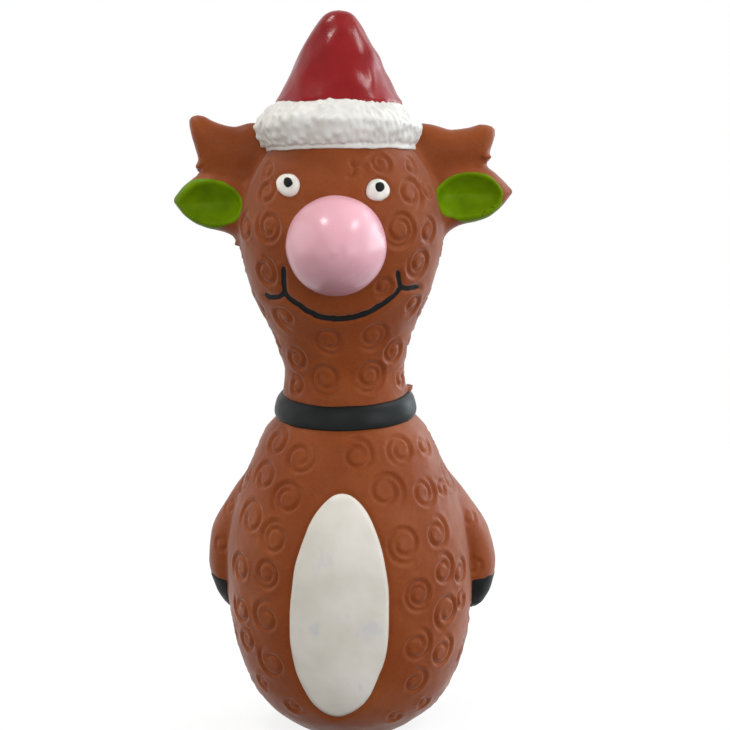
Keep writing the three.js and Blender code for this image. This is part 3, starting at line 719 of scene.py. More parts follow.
def egg_distance(points, what):
    """About how far, in mm, points lie outside a named egg, whose narrow end is up before it's tilted."""
    middle, halves, tilt_deg, taper = eggs[what]
    offset = (in_picture(points) - middle) * [1, -1]
    turn = math.radians(tilt_deg)
    across = offset @ numbers(math.cos(turn), -math.sin(turn))
    up = offset @ numbers(math.sin(turn), math.cos(turn))
    v = up / halves[1]
    wide = halves[0] * (1 - taper * np.clip(v, -1, 1))
    u = across / wide
    reach = np.hypot(u, v)
    steep = np.maximum(np.hypot(u / wide, v / halves[1]), TINY)
    distance = (reach - 1) * reach / steep * mm_per_px
    return np.where(faces_front(points), distance + uneven(points, what.split()[0]), far_off)


def eyes_distance(points):
    return np.minimum(*(egg_distance(points, f"eye {side}") for side in sides))


def nearest_on(line, places):
    """Distances from places to a line of points, and how far along it the nearest point lies, from 0 to 1."""
    start, step = line[:-1], np.diff(line, axis=0)
    length = np.linalg.norm(step, axis=1)
    offset = places[:, None] - start
    share = np.clip((offset * step).sum(2) / length**2, 0, 1)
    gap = np.linalg.norm(offset - share[..., None] * step, axis=2)
    best = gap.argmin(1)
    rows = np.arange(len(places))
    along = (np.concatenate([[0], np.cumsum(length)])[best] + share[rows, best] * length[best]) / length.sum()
    return gap[rows, best], along


def smooth_line(places, count=40):
    """Points evenly spaced along a smooth line through places."""
    table = np.array(places, float)
    at = np.concatenate([[0], np.cumsum(np.linalg.norm(np.diff(table, axis=0), axis=1))])
    return smooth_rows(np.column_stack([at, table]), count)[:, 1:]


def smooth_ring(places, share=0.25):
    """A closed line through places with its corners cut twice."""
    line = np.array(places, float)
    for _ in range(2):
        after = np.roll(line, -1, axis=0)
        line = np.stack([line + (after - line) * share, after - (after - line) * share], 1).reshape(-1, 2)
    return np.vstack([line, line[:1]])


def faces_front(points):
    return points[:, 1] < trunk.table[0, 2]


def mouth_distance(points):
    """How far points lie outside the brushed line of the mouth, in mm across the picture."""
    distance = np.full(len(points), far_off)
    places = in_picture(points)
    near = faces_front(points) & np.all(np.abs(places - mouth_px) < mouth_reach_px, axis=1)
    found = np.full(near.sum(), far_off)
    corners = (left_tick_px, left_tail_px, right_tick_px, right_tail_px)
    for line, width in [(smile_px, smile_width_px), *((corner, corner_width_px) for corner in corners)]:
        gap, along = nearest_on(smooth_line(line), places[near])
        taper = 1 - stroke_taper * np.abs(2 * along - 1) ** stroke_power
        found = smooth_least(found, (gap - width / 2 * taper) * mm_per_px, stroke_fillet)
    distance[near] = found + uneven(points[near], "mouth")
    return distance


def arms_distance(points):
    return np.minimum(*(arm.distance(points) for arm in arms))


def hoof_distance(points):
    """How far points lie above the brushed edge of the hooves' coats."""
    edge = hoof_top + np.where(points[:, 0] < 0, left_arm_rise, 0)
    edge = edge + hoof_slant * (np.abs(points[:, 0] - arm_shift) - arm_x)
    above = points[:, 2] - edge + uneven(points, "hoof")
    beside = arms_distance(points) - hoof_margin
    return np.maximum(above, beside * hoof_steepness)


def outline_distance(outline, places):
    """How far places lie outside a smooth closed outline."""
    line = smooth_ring(outline)
    gap, _ = nearest_on(line, places)
    start, end = line[:-1], line[1:]
    x, y = places[:, :1], places[:, 1:]
    spans = (start[:, 1] > y) != (end[:, 1] > y)
    rise = np.where(start[:, 1] == end[:, 1], 1, end[:, 1] - start[:, 1])
    crossed = x < start[:, 0] + (y - start[:, 1]) / rise * (end[:, 0] - start[:, 0])
    inside = (spans & crossed).sum(1) % 2 == 1
    return np.where(inside, -gap, gap)


def lining_distance(ear, points):
    """How far points lie outside an ear's coat, which fills its cup and runs out over its front."""
    distance = np.full(len(points), far_off)
    near = points[:, 0] * ear["side"] > ear_root + lining_root
    spots = points[near]
    seen = outline_distance(lining_px[ear["name"]], in_picture(spots)) * mm_per_px
    up = spots[:, 2] - neck_top - ear["up_share"] * head_height
    front = np.maximum(seen, spots[:, 1] - ear_y - lining_depth - lining_slant * up) + uneven(spots, "lining")
    distance[near] = np.minimum(front, cup_distance(ear, spots) - lining_overlap)
    return distance


def flash_share(points):
    """How near points lie to the scraps at the parting line, from 0 to 1."""
    places = in_picture(points)
    spots = np.array(flash_px)
    across, up = ((places[:, None, i] - spots[:, i]) / spots[:, i + 2] for i in (0, 1))
    share = np.exp(-(across**2 + up**2)).max(1)
    return share * np.exp(-((points[:, 1] - np.mean(flash_y)) / (np.ptp(flash_y) / 2)) ** flash_power)


# Curls
def tangents(normals, across):
    right = unit(across - (normals @ across)[:, None] * normals)
    return right, np.cross(normals, right)


def curl_line(radius, start_deg, turns):
    """The groove of a curl in its own plane, from its outer end inwards."""
    along = np.linspace(0, 1, curl_steps)
    turn = math.radians(start_deg) + 2 * np.pi * turns * along
    reach = radius * (1 - curl_shrink_share * along)
    return np.stack([reach * np.cos(turn), reach * np.sin(turn)], 1)


def seen_curls():
    """The photograph's curls on the surface: [centre, right, up, form that carries it, radius, line]."""
    made = []
    for form, rows in ((trunk.distance, head_curls + left_curls + right_curls), (arms_distance, arm_curls)):
        rows = np.array(rows, float)
        centres, hit = seen_on(form, rows[:, :2])
        rights, ups = tangents(unit(slope_of(form, centres)[0]), picture_right)
        made += [
            (centre, right, up, form, row[2], curl_line(*row[2:]))
            for centre, right, up, row, met in zip(centres, rights, ups, rows, hit) if met
        ]
    return made


def fill_curls(points, kept):
    """More curls over the sides and back, where the photograph doesn't reach, spaced as the seen ones are."""
    draw = np.random.default_rng(fill_seed)
    limbs = np.min([loft.distance(points) for loft in arms + ear_lofts + antler_lofts], axis=0)
    normals = unit(slope_of(trunk.distance, points)[0])
    height = points[:, 2]
    below = (height > fill_above_foot) & (height < collar_z - fill_below_collar)
    above = (height > collar_z + fill_above_collar) & (height < crown_top - fill_below_crown)
    hidden = normals @ look > fill_least_turn
    on_trunk = np.abs(trunk.distance(points)) < fill_on_trunk
    chosen = (below | above) & hidden & (limbs > fill_off_limbs) & on_trunk
    candidates, normals = points[chosen], normals[chosen]
    places, radii = [curl[0] for curl in kept], [curl[4] for curl in kept]
    made = []
    rights, ups = tangents(normals, numbers(*fill_right))
    for i in draw.permutation(len(candidates)):
        radius = draw.uniform(*fill_radii)
        gaps = np.linalg.norm(np.array(places) - candidates[i], axis=1)
        if (gaps - (np.array(radii) + radius) * fill_gap).min() < 0:
            continue
        line = curl_line(radius, draw.uniform(0, 360), draw.choice([-1, 1]) * draw.uniform(*fill_turns))
        places.append(candidates[i])
        radii.append(radius)
        made.append((candidates[i], rights[i], ups[i], trunk.distance, radius, line))
    return made


def curl_relief(points, curls):
    """How far the curls raise points out of the surface, and how far off the nearest groove is."""
    raised, nearest = np.zeros(len(points)), np.full(len(points), far_off)
    on_form = {}
    for form, share in ((trunk.distance, 1), (arms_distance, arm_curl_share)):
        on_form[form] = share * np.clip(form_clear - np.abs(form(points)) / form_fade, 0, 1)
    for centre, right, up, form, radius, line in curls:
        offset = points - centre
        near = np.flatnonzero((np.abs(offset) < radius + curl_reach).all(1) & (on_form[form] > 0))
        flat = np.stack([offset[near] @ right, offset[near] @ up], 1)
        gap, along = nearest_on(line, flat)
        fade = np.clip(along / curl_start_share, 0, 1) * np.clip((1 - along) / curl_end_share, 0, 1)
        fade = (curl_least_share + (1 - curl_least_share) * fade) * on_form[form][near]
        raised[near] += (ridge(gap, "curl") + ridge(gap, "curl lip")) * fade
        nearest[near] = np.minimum(nearest[near], gap)
    return raised, nearest


# Meshes
def clipped(points, triangles, value):
    """The part of a mesh where value is below zero, cut where it is zero."""
    inside = value < 0
    kept = inside[triangles].sum(1)
    made = [triangles[kept == 3]]
    edges, edge_of = edges_of(triangles)
    crossed = inside[edges[:, 0]] != inside[edges[:, 1]]
    start, end = edges[crossed].T
    share = (value[start] / (value[start] - value[end]))[:, None]
    number = np.full(len(edges), -1)
    number[crossed] = len(points) + np.arange(crossed.sum())
    points = np.vstack([points, points[start] + share * (points[end] - points[start])])
    for count in (1, 2):
        rows = np.flatnonzero(kept == count)
        lone = (inside[triangles[rows]] == (count == 1)).argmax(1)
        order = (lone[:, None] + np.arange(3)) % 3
        a, b, c = np.take_along_axis(triangles[rows], order, 1).T
        ab, _, ca = number[np.take_along_axis(edge_of[rows], order, 1)].T
        if count == 1:
            made.append(np.stack([a, ab, ca], 1))
        else:
            made += [np.stack([ab, b, c], 1), np.stack([ab, c, ca], 1)]
    return compact(points, np.vstack(made))


def compact(points, triangles):
    used, triangles = np.unique(triangles, return_inverse=True)
    return points[used], triangles.reshape(-1, 3)


def shell(points, normals, triangles, rise, sink):
    """A closed coat over an open patch, risen above it and sunk below it."""
    count = len(points)
    pairs = np.stack([triangles, np.roll(triangles, -1, axis=1)], -1).reshape(-1, 2)
    keys, back = pairs[:, 0] * count + pairs[:, 1], pairs[:, 1] * count + pairs[:, 0]
    rim = pairs[~np.isin(keys, back)]
    start, end = rim.T
    walls = [np.stack([end, start, start + count], 1), np.stack([end, start + count, end + count], 1)]
    both = np.vstack([points + normals * rise[:, None], points - normals * sink])
    return both, np.vstack([triangles, triangles[:, ::-1] + count, *walls])


def piece(name, points, faces, material, slot, *nodes, body="toy"):
    """A smooth mesh piece made of places in the toy's own frame, which stands for CAD nodes."""
    mesh = bpy.data.meshes.new(name)
    faces = faces.tolist() if isinstance(faces, np.ndarray) else faces
    mesh.from_pydata(((points + own_origin) * MM).tolist(), [], faces)
    mesh.polygons.foreach_set("use_smooth", np.ones(len(mesh.polygons), bool))
    mesh.update()
    made = bpy.data.objects.new(name, mesh)
    bpy.context.scene.collection.objects.link(made)
    made.data.materials.append(material)
    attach(made, body)
    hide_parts(*nodes)
    return made


def ring_faces(rows, columns):
    """Quads of a grid of points whose columns go round and whose rows close on themselves too."""
    i, j = np.meshgrid(np.arange(rows), np.arange(columns), indexing="ij")
    after, beside = (i + 1) % rows, (j + 1) % columns
    row, next_row = i * columns, after * columns
    return np.stack([row + j, row + beside, next_row + beside, next_row + j], -1).reshape(-1, 4)


# Materials
white_level, srgb_knee, srgb_slope, srgb_offset, srgb_power = 255, 0.04045, 12.92, 0.055, 2.4
black, white = (0, 0, 0, 1), (1, 1, 1, 1)
latex_base, latex_middle_rough, latex_rough, latex_grain_share = (133, 64, 25), 0.5, (0.42, 0.56), 0.35
latex_gloss = {"Specular_IOR_Level": 0.12, "Sheen_Weight": 0.3, "Sheen_Roughness": 0.4}
latex_stops = [[0.3, (127, 59, 20)], [0.5, (134, 65, 25)], [0.72, (143, 74, 33)]]
grain_stops = [[0.3, (205, 205, 205)], [0.5, (235, 235, 235)], [0.7, (255, 255, 255)]]
cream_base, cream_rough, cream_gloss = (221, 217, 207), 0.7, {"Specular_IOR_Level": 0.15}
cream_stops = [[0.3, (212, 208, 196)], [0.65, (227, 224, 215)]]
smudge_colour, smudge_strength, smudge_from, smudge_to = (197, 200, 205), 0.5, 0.6, 0.68
# Noises by what they are for: [wave in mm, detail]
noises = {
    "latex": (14, 3), "latex grain": (0.7, 4), "latex gloss": (3, 3), "latex pits": (1.4, 3),
    "latex fine pits": (0.22, 2), "cream": (12, 3), "smudge": (6, 4), "cream brushwork": (5, 3),
    "cream pits": (0.6, 2),
}
# How deep they roughen, in mm
depths = {"latex pits": 0.05, "latex fine pits": 0.012, "cream brushwork": 0.08, "cream pits": 0.02}
smudge_stretch = (1, 1, 0.6)
# Paints and plastics: [darker and lighter colour in sRGB, wave of their brushwork in mm, least and most
# roughness, wave and depth of their pits in mm, specular level]
paints = {
    "black coat": ((9, 10, 11), (19, 20, 21), 5, (0.4, 0.55), 0.5, 0.02, 0.1),
    "white coat": ((214, 210, 200), (234, 231, 224), 2.5, (0.35, 0.5), 0.5, 0.02, 0.3),
    "green coat": ((86, 116, 0), (106, 138, 0), 5, (0.3, 0.42), 0.5, 0.02, 0.05),
    "red coat": ((120, 16, 18), (136, 24, 27), 9, (0.16, 0.3), 0.5, 0.03, 0.15),
    "pink coat": ((209, 154, 164), (217, 164, 175), 14, (0.22, 0.28), 0.5, 0.008, 0.26),
    "slate coat": ((22, 24, 23), (30, 33, 33), 10, (0.35, 0.45), 0.5, 0.015, 0.1),
    "frost coat": ((203, 202, 195), (217, 217, 212), 6, (0.4, 0.6), 0.5, 0.03, 0.5),
    "white fibre": ((226, 224, 216), (240, 238, 232), 2, (0.9, 1.0), 0.2, 0.08, 0.5),
    "squeaker plastic": ((226, 224, 216), (234, 232, 224), 6, (0.3, 0.4), 0.5, 0.005, 0.5),
    "reed film": ((196, 206, 210), (208, 216, 220), 4, (0.2, 0.3), 0.5, 0.003, 0.5),
}
# Where a paint's two colours lie on its noise, and the shares of its brushwork's wave and its pits' depth
paint_places = (0.3, 0.65)
gloss_wave_share, soft_wave_share, soft_depth_share = 0.6, 0.5, 3
paint_detail, pit_detail = 3, 2


def new_material(name, colour, roughness, **settings):
    """A principled material with its colour in sRGB, and its nodes."""
    material = bpy.data.materials.new(name)
    material.use_nodes = True
    nodes = material.node_tree.nodes
    shader = nodes["Principled BSDF"]
    shader.inputs["Base Color"].default_value = linear(colour)
    shader.inputs["Roughness"].default_value = roughness
    for key, value in settings.items():
        shader.inputs[key.replace("_", " ")].default_value = value
    return material, material.node_tree, shader


def linear(colour):
    """An sRGB colour of 0 to 255 as Blender's linear one."""
    share = np.array(colour, float) / white_level
    curved = ((share + srgb_offset) / (1 + srgb_offset)) ** srgb_power
    return (*np.where(share <= srgb_knee, share / srgb_slope, curved), 1.0)


def wired(tree, kind, output, sockets, **settings):
    """The output of a new node whose inputs are linked to sockets or set to values."""
    made = tree.nodes.new("ShaderNode" + kind)
    if "operation" in settings:
        made.operation = settings["operation"]
    if "blend" in settings:
        made.data_type = "RGBA"
        made.blend_type = settings["blend"]
    for key, value in sockets.items():
        if isinstance(value, bpy.types.NodeSocket):
            tree.links.new(value, made.inputs[key])
        else:
            made.inputs[key].default_value = value
    return made.outputs[output]


def noise(tree, wave, detail, stretch=(1, 1, 1)):
    """Noise whose bumps are about a wave, in mm, long."""
    place = wired(tree, "TexCoord", "Object", {})
    mapped = wired(tree, "Mapping", "Vector", {"Vector": place, "Scale": stretch})
    return wired(tree, "TexNoise", "Fac", {"Vector": mapped, "Scale": 1 / (wave * MM), "Detail": detail})


def ramp(tree, value, stops):
    """A ramp of colours [[place, colour], ...] over a value."""
    made = tree.nodes.new("ShaderNodeValToRGB")
    elements = made.color_ramp.elements
    while len(elements) < len(stops):
        elements.new(0.5)
    for element, (place, colour) in zip(elements, stops):
        element.position = place
        element.color = linear(colour)
    tree.links.new(value, made.inputs["Fac"])
    return made.outputs["Color"]


def mixed(tree, share, first, second, blend="MIX"):
    """Two colours mixed; a share or a colour is a socket or a value."""
    return wired(tree, "Mix", "Result", {"Factor": share, "A": first, "B": second}, blend=blend)


def ranged(tree, value, low, high, from_low=0.3, from_high=0.7):
    """A value whose range from from_low to from_high is stretched to run from low to high."""
    sockets = {"Value": value, "From Min": from_low, "From Max": from_high, "To Min": low, "To Max": high}
    return wired(tree, "MapRange", "Result", sockets)


def bumped(tree, shader, height, depth, below=None):
    """Roughens a shader by a height that is depth mm deep."""
    sockets = {"Height": height, "Distance": depth * MM, "Strength": 1.0}
    if below is not None:
        sockets["Normal"] = below
    normal = wired(tree, "Bump", "Normal", sockets)
    tree.links.new(normal, shader.inputs["Normal"])
    return normal


def pitted(tree, shader, what, below=None):
    """Roughens a shader by one of the named noises."""
    return bumped(tree, shader, noise(tree, *noises[what]), depths[what], below)


def latex_material():
    material, tree, shader = new_material("brown latex", latex_base, latex_middle_rough, **latex_gloss)
    broad = ramp(tree, noise(tree, *noises["latex"]), latex_stops)
    fine = ramp(tree, noise(tree, *noises["latex grain"]), grain_stops)
    tree.links.new(mixed(tree, latex_grain_share, broad, fine, "MULTIPLY"), shader.inputs["Base Color"])
    gloss = ranged(tree, noise(tree, *noises["latex gloss"]), *latex_rough)
    tree.links.new(gloss, shader.inputs["Roughness"])
    pitted(tree, shader, "latex fine pits", below=pitted(tree, shader, "latex pits"))
    return material


def paint_material(name):
    """Latex paint or plastic whose colour and gloss vary a little, as brushed."""
    dark, light, wave, rough, pit_wave, depth, specular = paints[name]
    material, tree, shader = new_material(name, light, rough[0], Specular_IOR_Level=specular)
    broad = ramp(tree, noise(tree, wave, paint_detail), list(zip(paint_places, (dark, light))))
    tree.links.new(broad, shader.inputs["Base Color"])
    gloss = ranged(tree, noise(tree, wave * gloss_wave_share, paint_detail), *rough)
    tree.links.new(gloss, shader.inputs["Roughness"])
    soft = bumped(tree, shader, noise(tree, wave * soft_wave_share, pit_detail), depth * soft_depth_share)
    bumped(tree, shader, noise(tree, pit_wave, pit_detail), depth, below=soft)
    return material


def cream_material():
    """Cream paint with a few grey smudges."""
    material, tree, shader = new_material("cream coat", cream_base, cream_rough, **cream_gloss)
    broad = ramp(tree, noise(tree, *noises["cream"]), cream_stops)
    spots = noise(tree, *noises["smudge"], smudge_stretch)
    smudge = ranged(tree, spots, 0, smudge_strength, smudge_from, smudge_to)
    tree.links.new(mixed(tree, smudge, broad, linear(smudge_colour)), shader.inputs["Base Color"])
    pitted(tree, shader, "cream pits", below=pitted(tree, shader, "cream brushwork"))
    return material


# The casting
skin_low, skin_high = numbers(-44, -38, -1), numbers(44, 38, crown_top + trim_height / 2 + hat_height + 2)
skin_step, skin_relaxings = 1.2, 4
refine_margin, outer_margin = 0.4, 0.3
# How long its edges may be: unseen inside, plain outside, near hidden curls, and near all that shows in front
unseen_edge, plain_edge, fill_edge, fine_edge = 9.0, 2.4, 1.05, 0.58
# How near counts as near hidden curls, seen curls, the rims of coats, the mouth and eyes, and the flash
hidden_near, seen_near, rim_near, face_near, flash_near_share = 0.8, 1.0, 0.7, 0.9, 0.1
# Edges no longer than these are kept in the first and the second round, and where the surface bends
kept_lengths = (0.9, 0.45)
most_bend, bent_kept_length = 0.3, 0.5


def skin_mesh():
    """The casting's smooth surface, fine where it is to be pressed or painted, and the curls to press in."""
    points, triangles = surface_net(skin_field, skin_low, skin_high, skin_step)
    for _ in range(skin_relaxings):
        points = settled(skin_field, relaxed(points, triangles), 1)
    points = settled(skin_field, points, 3)
    seen = seen_curls()
    hidden = fill_curls(points, seen)

    def too_long(limit):
        def test(edges, middles, length):
            outer = np.abs(outside(middles)) < refine_margin
            wanted = np.full(len(middles), unseen_edge)
            spots = middles[outer]
            edge = np.min(np.abs(coat_distances(spots)), axis=0)
            small = np.minimum(mouth_distance(spots), eyes_distance(spots))
            fine = (curl_relief(spots, seen)[1] < seen_near) | (edge < rim_near)
            fine = fine | (small < face_near) | (flash_share(spots) > flash_near_share)
            wanted[outer] = np.where(curl_relief(spots, hidden)[1] < hidden_near, fill_edge, plain_edge)
            wanted[outer] = np.where(fine, fine_edge, wanted[outer])
            return (length > wanted) & (length > limit)
        return test

    for limit in kept_lengths:
        before = len(points)
        points, triangles = refined(points, triangles, too_long(limit))
        points[before:] = settled(skin_field, points[before:], 2)
        points, triangles = bent_edges_halved(points, triangles)
    return points, triangles, seen + hidden


def bent_edges_halved(points, triangles):
    """The mesh with those outer edges halved along which the surface turns too far."""
    normals = unit(slope_of(outside, points)[0])

    def too_long(edges, middles, length):
        outer = np.abs(outside(middles)) < refine_margin
        bend = np.linalg.norm(normals[edges[:, 0]] - normals[edges[:, 1]], axis=1)
        return outer & (bend > most_bend) & (length > bent_kept_length)

    before = len(points)
    points, triangles = refined(points, triangles, too_long)
    points[before:] = settled(skin_field, points[before:], 2)
    return points, triangles


def coat_distances(points):
    linings = [lining_distance(ear, points) for ear in ears]
    return [egg_distance(points, "belly"), hoof_distance(points), *linings]


def skin_relief(points, curls):
    """How far the outer surface is raised: curls, grooves round what is painted, and unevenness."""
    raised, _ = curl_relief(points, curls)
    belly = egg_distance(points, "belly")
    raised = raised * np.clip(belly / belly_calm, 0, 1) + ridge(belly, "belly")
    mouth = mouth_distance(points) + smile_width_px / 2 * mm_per_px
    raised += ridge(mouth, "mouth")
    raised += ridge(mouth, "lips")
    raised += ridge(eyes_distance(points), "eyes")
    raised += flash_rise * flash_share(points) * (flash_base + uneven(points, "flash"))
    raised += uneven(points, "skin") + uneven(points, "skin grain")
    return raised * np.clip(points[:, 2] / foot_calm, 0, 1)


brown = latex_material()
skin_points, skin_triangles, curls = skin_mesh()
outer = np.abs(outside(skin_points)) < outer_margin
normals = unit(slope_of(skin_field, skin_points)[0])
raised = np.zeros(len(skin_points))
raised[outer] = skin_relief(skin_points[outer], curls)
skin_points = skin_points + normals * raised[:, None]
piece("latex_body", skin_points, skin_triangles, brown, "brown_latex", "latex_skin")


# Coats that lie on the casting
smooth_places = skin_points - normals * raised[:, None]
elsewhere, patch_sink, coat_least, bead_least = 5.0, 0.3, 0.02, 0.05
# [thickness, how far in from its edge the coat reaches it]; beads of paint are domed
coat_forms = {
    "belly": (0.22, 0.9), "mouth": (0.1, 0.3), "ear": (0.15, 0.6), "hoof": (0.2, 0.6),
    "eye bead": (0.75, 2.6), "pupil bead": (0.25, 1.1),
}


def risen(what, depth):
    """How far a coat or a bead of paint stands at a depth in from its edge."""
    height, edge = coat_forms[what]
    inwards = np.clip(depth / edge, 0, 1)
    if what.endswith("bead"):
        return bead_least + height * np.sqrt(np.clip(1 - (1 - inwards) ** 2, 0, 1))
    return coat_least + (height - coat_least) * np.sin(np.pi / 2 * inwards)


def patch(name, what, value, material, slot, node, lift=0.0):
    """A closed coat over the part of the casting where value is below zero. It lies lifted by lift."""
    value = np.where(outer, value, elsewhere)
    lifted = np.broadcast_to(lift, value.shape)
    carried = np.column_stack([skin_points, normals, value, lifted])
    carried, triangles = clipped(carried, skin_triangles, value)
    places, normal, depth, under = np.split(carried, [3, 6, 7], axis=1)
    normal = unit(normal)
    rise = risen(what, -np.minimum(depth[:, 0], 0))
    shape = shell(places + normal * under, normal, triangles, rise, patch_sink)
    return piece(name, *shape, material, slot, node)


black_coat, white_coat = paint_material("black coat"), paint_material("white coat")
green_coat = paint_material("green coat")
belly = egg_distance(smooth_places, "belly")
patch("belly_paint", "belly", belly, cream_material(), "cream_coat", "belly_coat")
patch("mouth_paint", "mouth", mouth_distance(smooth_places), black_coat, "black_coat", "mouth_line")
for side in sides:
    eye = egg_distance(smooth_places, f"eye {side}")
    patch(f"eye_bead_{side}", "eye bead", eye, white_coat, "white_coat", f"eye_white_{side}")
    lift = risen("eye bead", np.maximum(-eye, 0))
    pupil = egg_distance(smooth_places + normals * lift[:, None], f"pupil {side}")
    patch(f"pupil_bead_{side}", "pupil bead", pupil, black_coat, "black_coat", f"pupil_{side}", lift)
for ear in ears:
    lining = lining_distance(ear, smooth_places)
    patch(f"ear_paint_{ear['name']}", "ear", lining, green_coat, "green_coat", f"ear_lining_{ear['name']}")
for side, name in ((-1, "left"), (1, "right")):
    hoof = np.where(smooth_places[:, 0] * side > 0, hoof_distance(smooth_places), elsewhere)
    patch(f"hoof_paint_{name}", "hoof", hoof, black_coat, "black_coat", f"hoof_coat_{name}")


# Coats that are turned about an axis
coat_proud, edge_blur = 0.12, 3
# [columns, rows, how deep the edges sink into what carries them]
ring_counts = {
    "nose": (120, 70, 0.3), "hat": (120, 80, 0.8), "trim": (360, 54, 0.3), "collar": (160, 30, 0.3),
}
# How far the nose's tip stands out, and how far below the hat's tip its relief is whole
nose_tip_rise, hat_tip_calm = 0.02, 3
# The radius at which the trim's coat ends on the hat, and how far its surface is sunk
trim_top_radius, trim_sink = 14.4, -0.1
# How the trim's relief fades in from its lower edge and out towards its upper one
trim_plain, trim_fade_in, trim_fade_out = 1.1, 0.8, 1.2
collar_edge, collar_low_radius, collar_high_radius = 0.1, 16.0, 15.0
# The trim's cells, whose lumps on the left turn into upright dimples on the right
cell_width, cell_height, cell_jitter, cell_stagger, cell_seed = 1.5, 2.6, 0.3, 0.25, 41
cell_rises = (0.6, 1.25)
lump_rise, lump_half_width = 0.5, 0.8
dimple_depth, dimple_half_width, dimple_half_height, dimple_slant = 0.5, 0.5, 1.05, 0.25
# How far left of the middle the lumps start to turn into dimples, and the width over which they turn
turn_start, turn_width = 2, 10


def profile(loft, extra_low=(), extra_high=(), samples=260):
    """Evenly spaced rings [along, radius] of a round loft's outline, with rings added below and above it."""
    line = np.vstack([*extra_low, loft.table[:, [0, 3]], *extra_high])
    at = np.concatenate([[0], np.cumsum(np.linalg.norm(np.diff(line, axis=0), axis=1))])
    even = np.linspace(0, at[-1], samples)
    return np.column_stack([np.interp(even, at, column) for column in line.T]), even


def turned_places(loft, rings, columns):
    """Places [ring, column] of rings about a loft's axis, seen from its far end counterclockwise."""
    turn = np.arange(columns) / columns * 2 * np.pi
    along, radius = rings[..., 0], rings[..., 1]
    local = np.stack(np.broadcast_arrays(radius * np.cos(turn), radius * np.sin(turn), along), -1)
    return loft.outwards(local.reshape(-1, 3)).reshape(local.shape)


def fitted_rings(what, loft, low_field=None, high_field=None, extra_low=(), extra_high=()):
    """Places, rings and arcs of a turned coat whose edges run where they sink into what carries them."""
    columns, rows, sunk = ring_counts[what]
    line, even = profile(loft, extra_low, extra_high)
    dense = turned_places(loft, line[:, None], columns)
    starts, ends = np.zeros(columns), np.full(columns, even[-1])
    half = len(even) // 2
    if low_field:
        value = low_field(dense[:half].reshape(-1, 3)).reshape(half, columns) + sunk
        starts = even[half - 1 - (value[::-1] < 0).argmax(0)] * (value < 0).any(0)
    if high_field:
        value = high_field(dense[half:].reshape(-1, 3)).reshape(-1, columns) + sunk
        ends = np.where((value < 0).any(0), even[half + (value < 0).argmax(0)], even[-1])
    blur = range(-edge_blur, edge_blur + 1)
    starts, ends = (sum(np.roll(edge, by) for by in blur) / len(blur) for edge in (starts, ends))
    at = starts + np.linspace(0, 1, rows)[:, None] * (ends - starts)
    rings = np.stack([np.interp(at, even, column) for column in line.T], -1)
    return turned_places(loft, rings, columns), rings, at - starts


def ring_shell(rings, thickness, tip=None):
    """A closed coat through places [ring, column], closed by a tip after its last ring if it has one."""
    across = np.roll(rings, -1, 1) - np.roll(rings, 1, 1)
    out = unit(np.cross(across, np.gradient(rings, axis=0)))
    rows, columns = rings.shape[:2]
    places = np.concatenate([rings, (rings - out * thickness)[::-1]]).reshape(-1, 3)
    faces = ring_faces(2 * rows, columns)
    if tip is None:
        return places, faces
    faces = faces.reshape(2 * rows, columns, 4)
    outer_tip, inner_tip = len(places), len(places) + 1
    column = np.arange(columns)
    beside = (column + 1) % columns
    last, first = (rows - 1) * columns, rows * columns
    fans = [
        np.stack([last + column, last + beside, np.full(columns, outer_tip)], 1),
        np.stack([first + beside, first + column, np.full(columns, inner_tip)], 1),
    ]
    kept = np.delete(faces, rows - 1, axis=0).reshape(-1, 4)
    middle = rings[-1].mean(0)
    inwards = unit(tip - middle) * thickness
    return np.vstack([places, tip, tip - inwards]), [*kept.tolist(), *fans[0].tolist(), *fans[1].tolist()]


def grown(places, by):
    """Places [ring, column] moved out of their surface."""
    across = np.roll(places, -1, 1) - np.roll(places, 1, 1)
    out = unit(np.cross(across, np.gradient(places, axis=0)))
    return places + out * np.broadcast_to(by, places.shape[:2])[..., None]


def nose_coat():
    places, _, _ = fitted_rings("nose", nose, trunk.distance)
    places = grown(places, coat_proud)
    places = grown(places, uneven(places, "nose"))
    tip = nose.outwards(numbers(0, 0, nose_reach + coat_proud + nose_tip_rise))
    shape = ring_shell(places, coat_thickness, tip)
    piece("nose_paint", *shape, paint_material("pink coat"), "pink_coat", "nose_coat")


def hat_coat():
    root = [[-trim_height / 4, hat_half_width]]
    places, rings, _ = fitted_rings("hat", hat, trim.distance, extra_low=[root])
    places = grown(places, coat_proud)
    to_tip = np.clip((hat.table[-1, 0] - rings[..., 0]) / hat_tip_calm, 0, 1)
    relief = uneven(places, "hat") + uneven(places, "hat dents")
    places = grown(places, np.maximum(relief, -coat_proud) * to_tip)
    tip = hat.outwards(numbers(0, 0, hat.table[-1, 0] + coat_proud))
    shape = ring_shell(places, coat_thickness, tip)
    piece("hat_paint", *shape, paint_material("red coat"), "red_coat", "hat_coat")


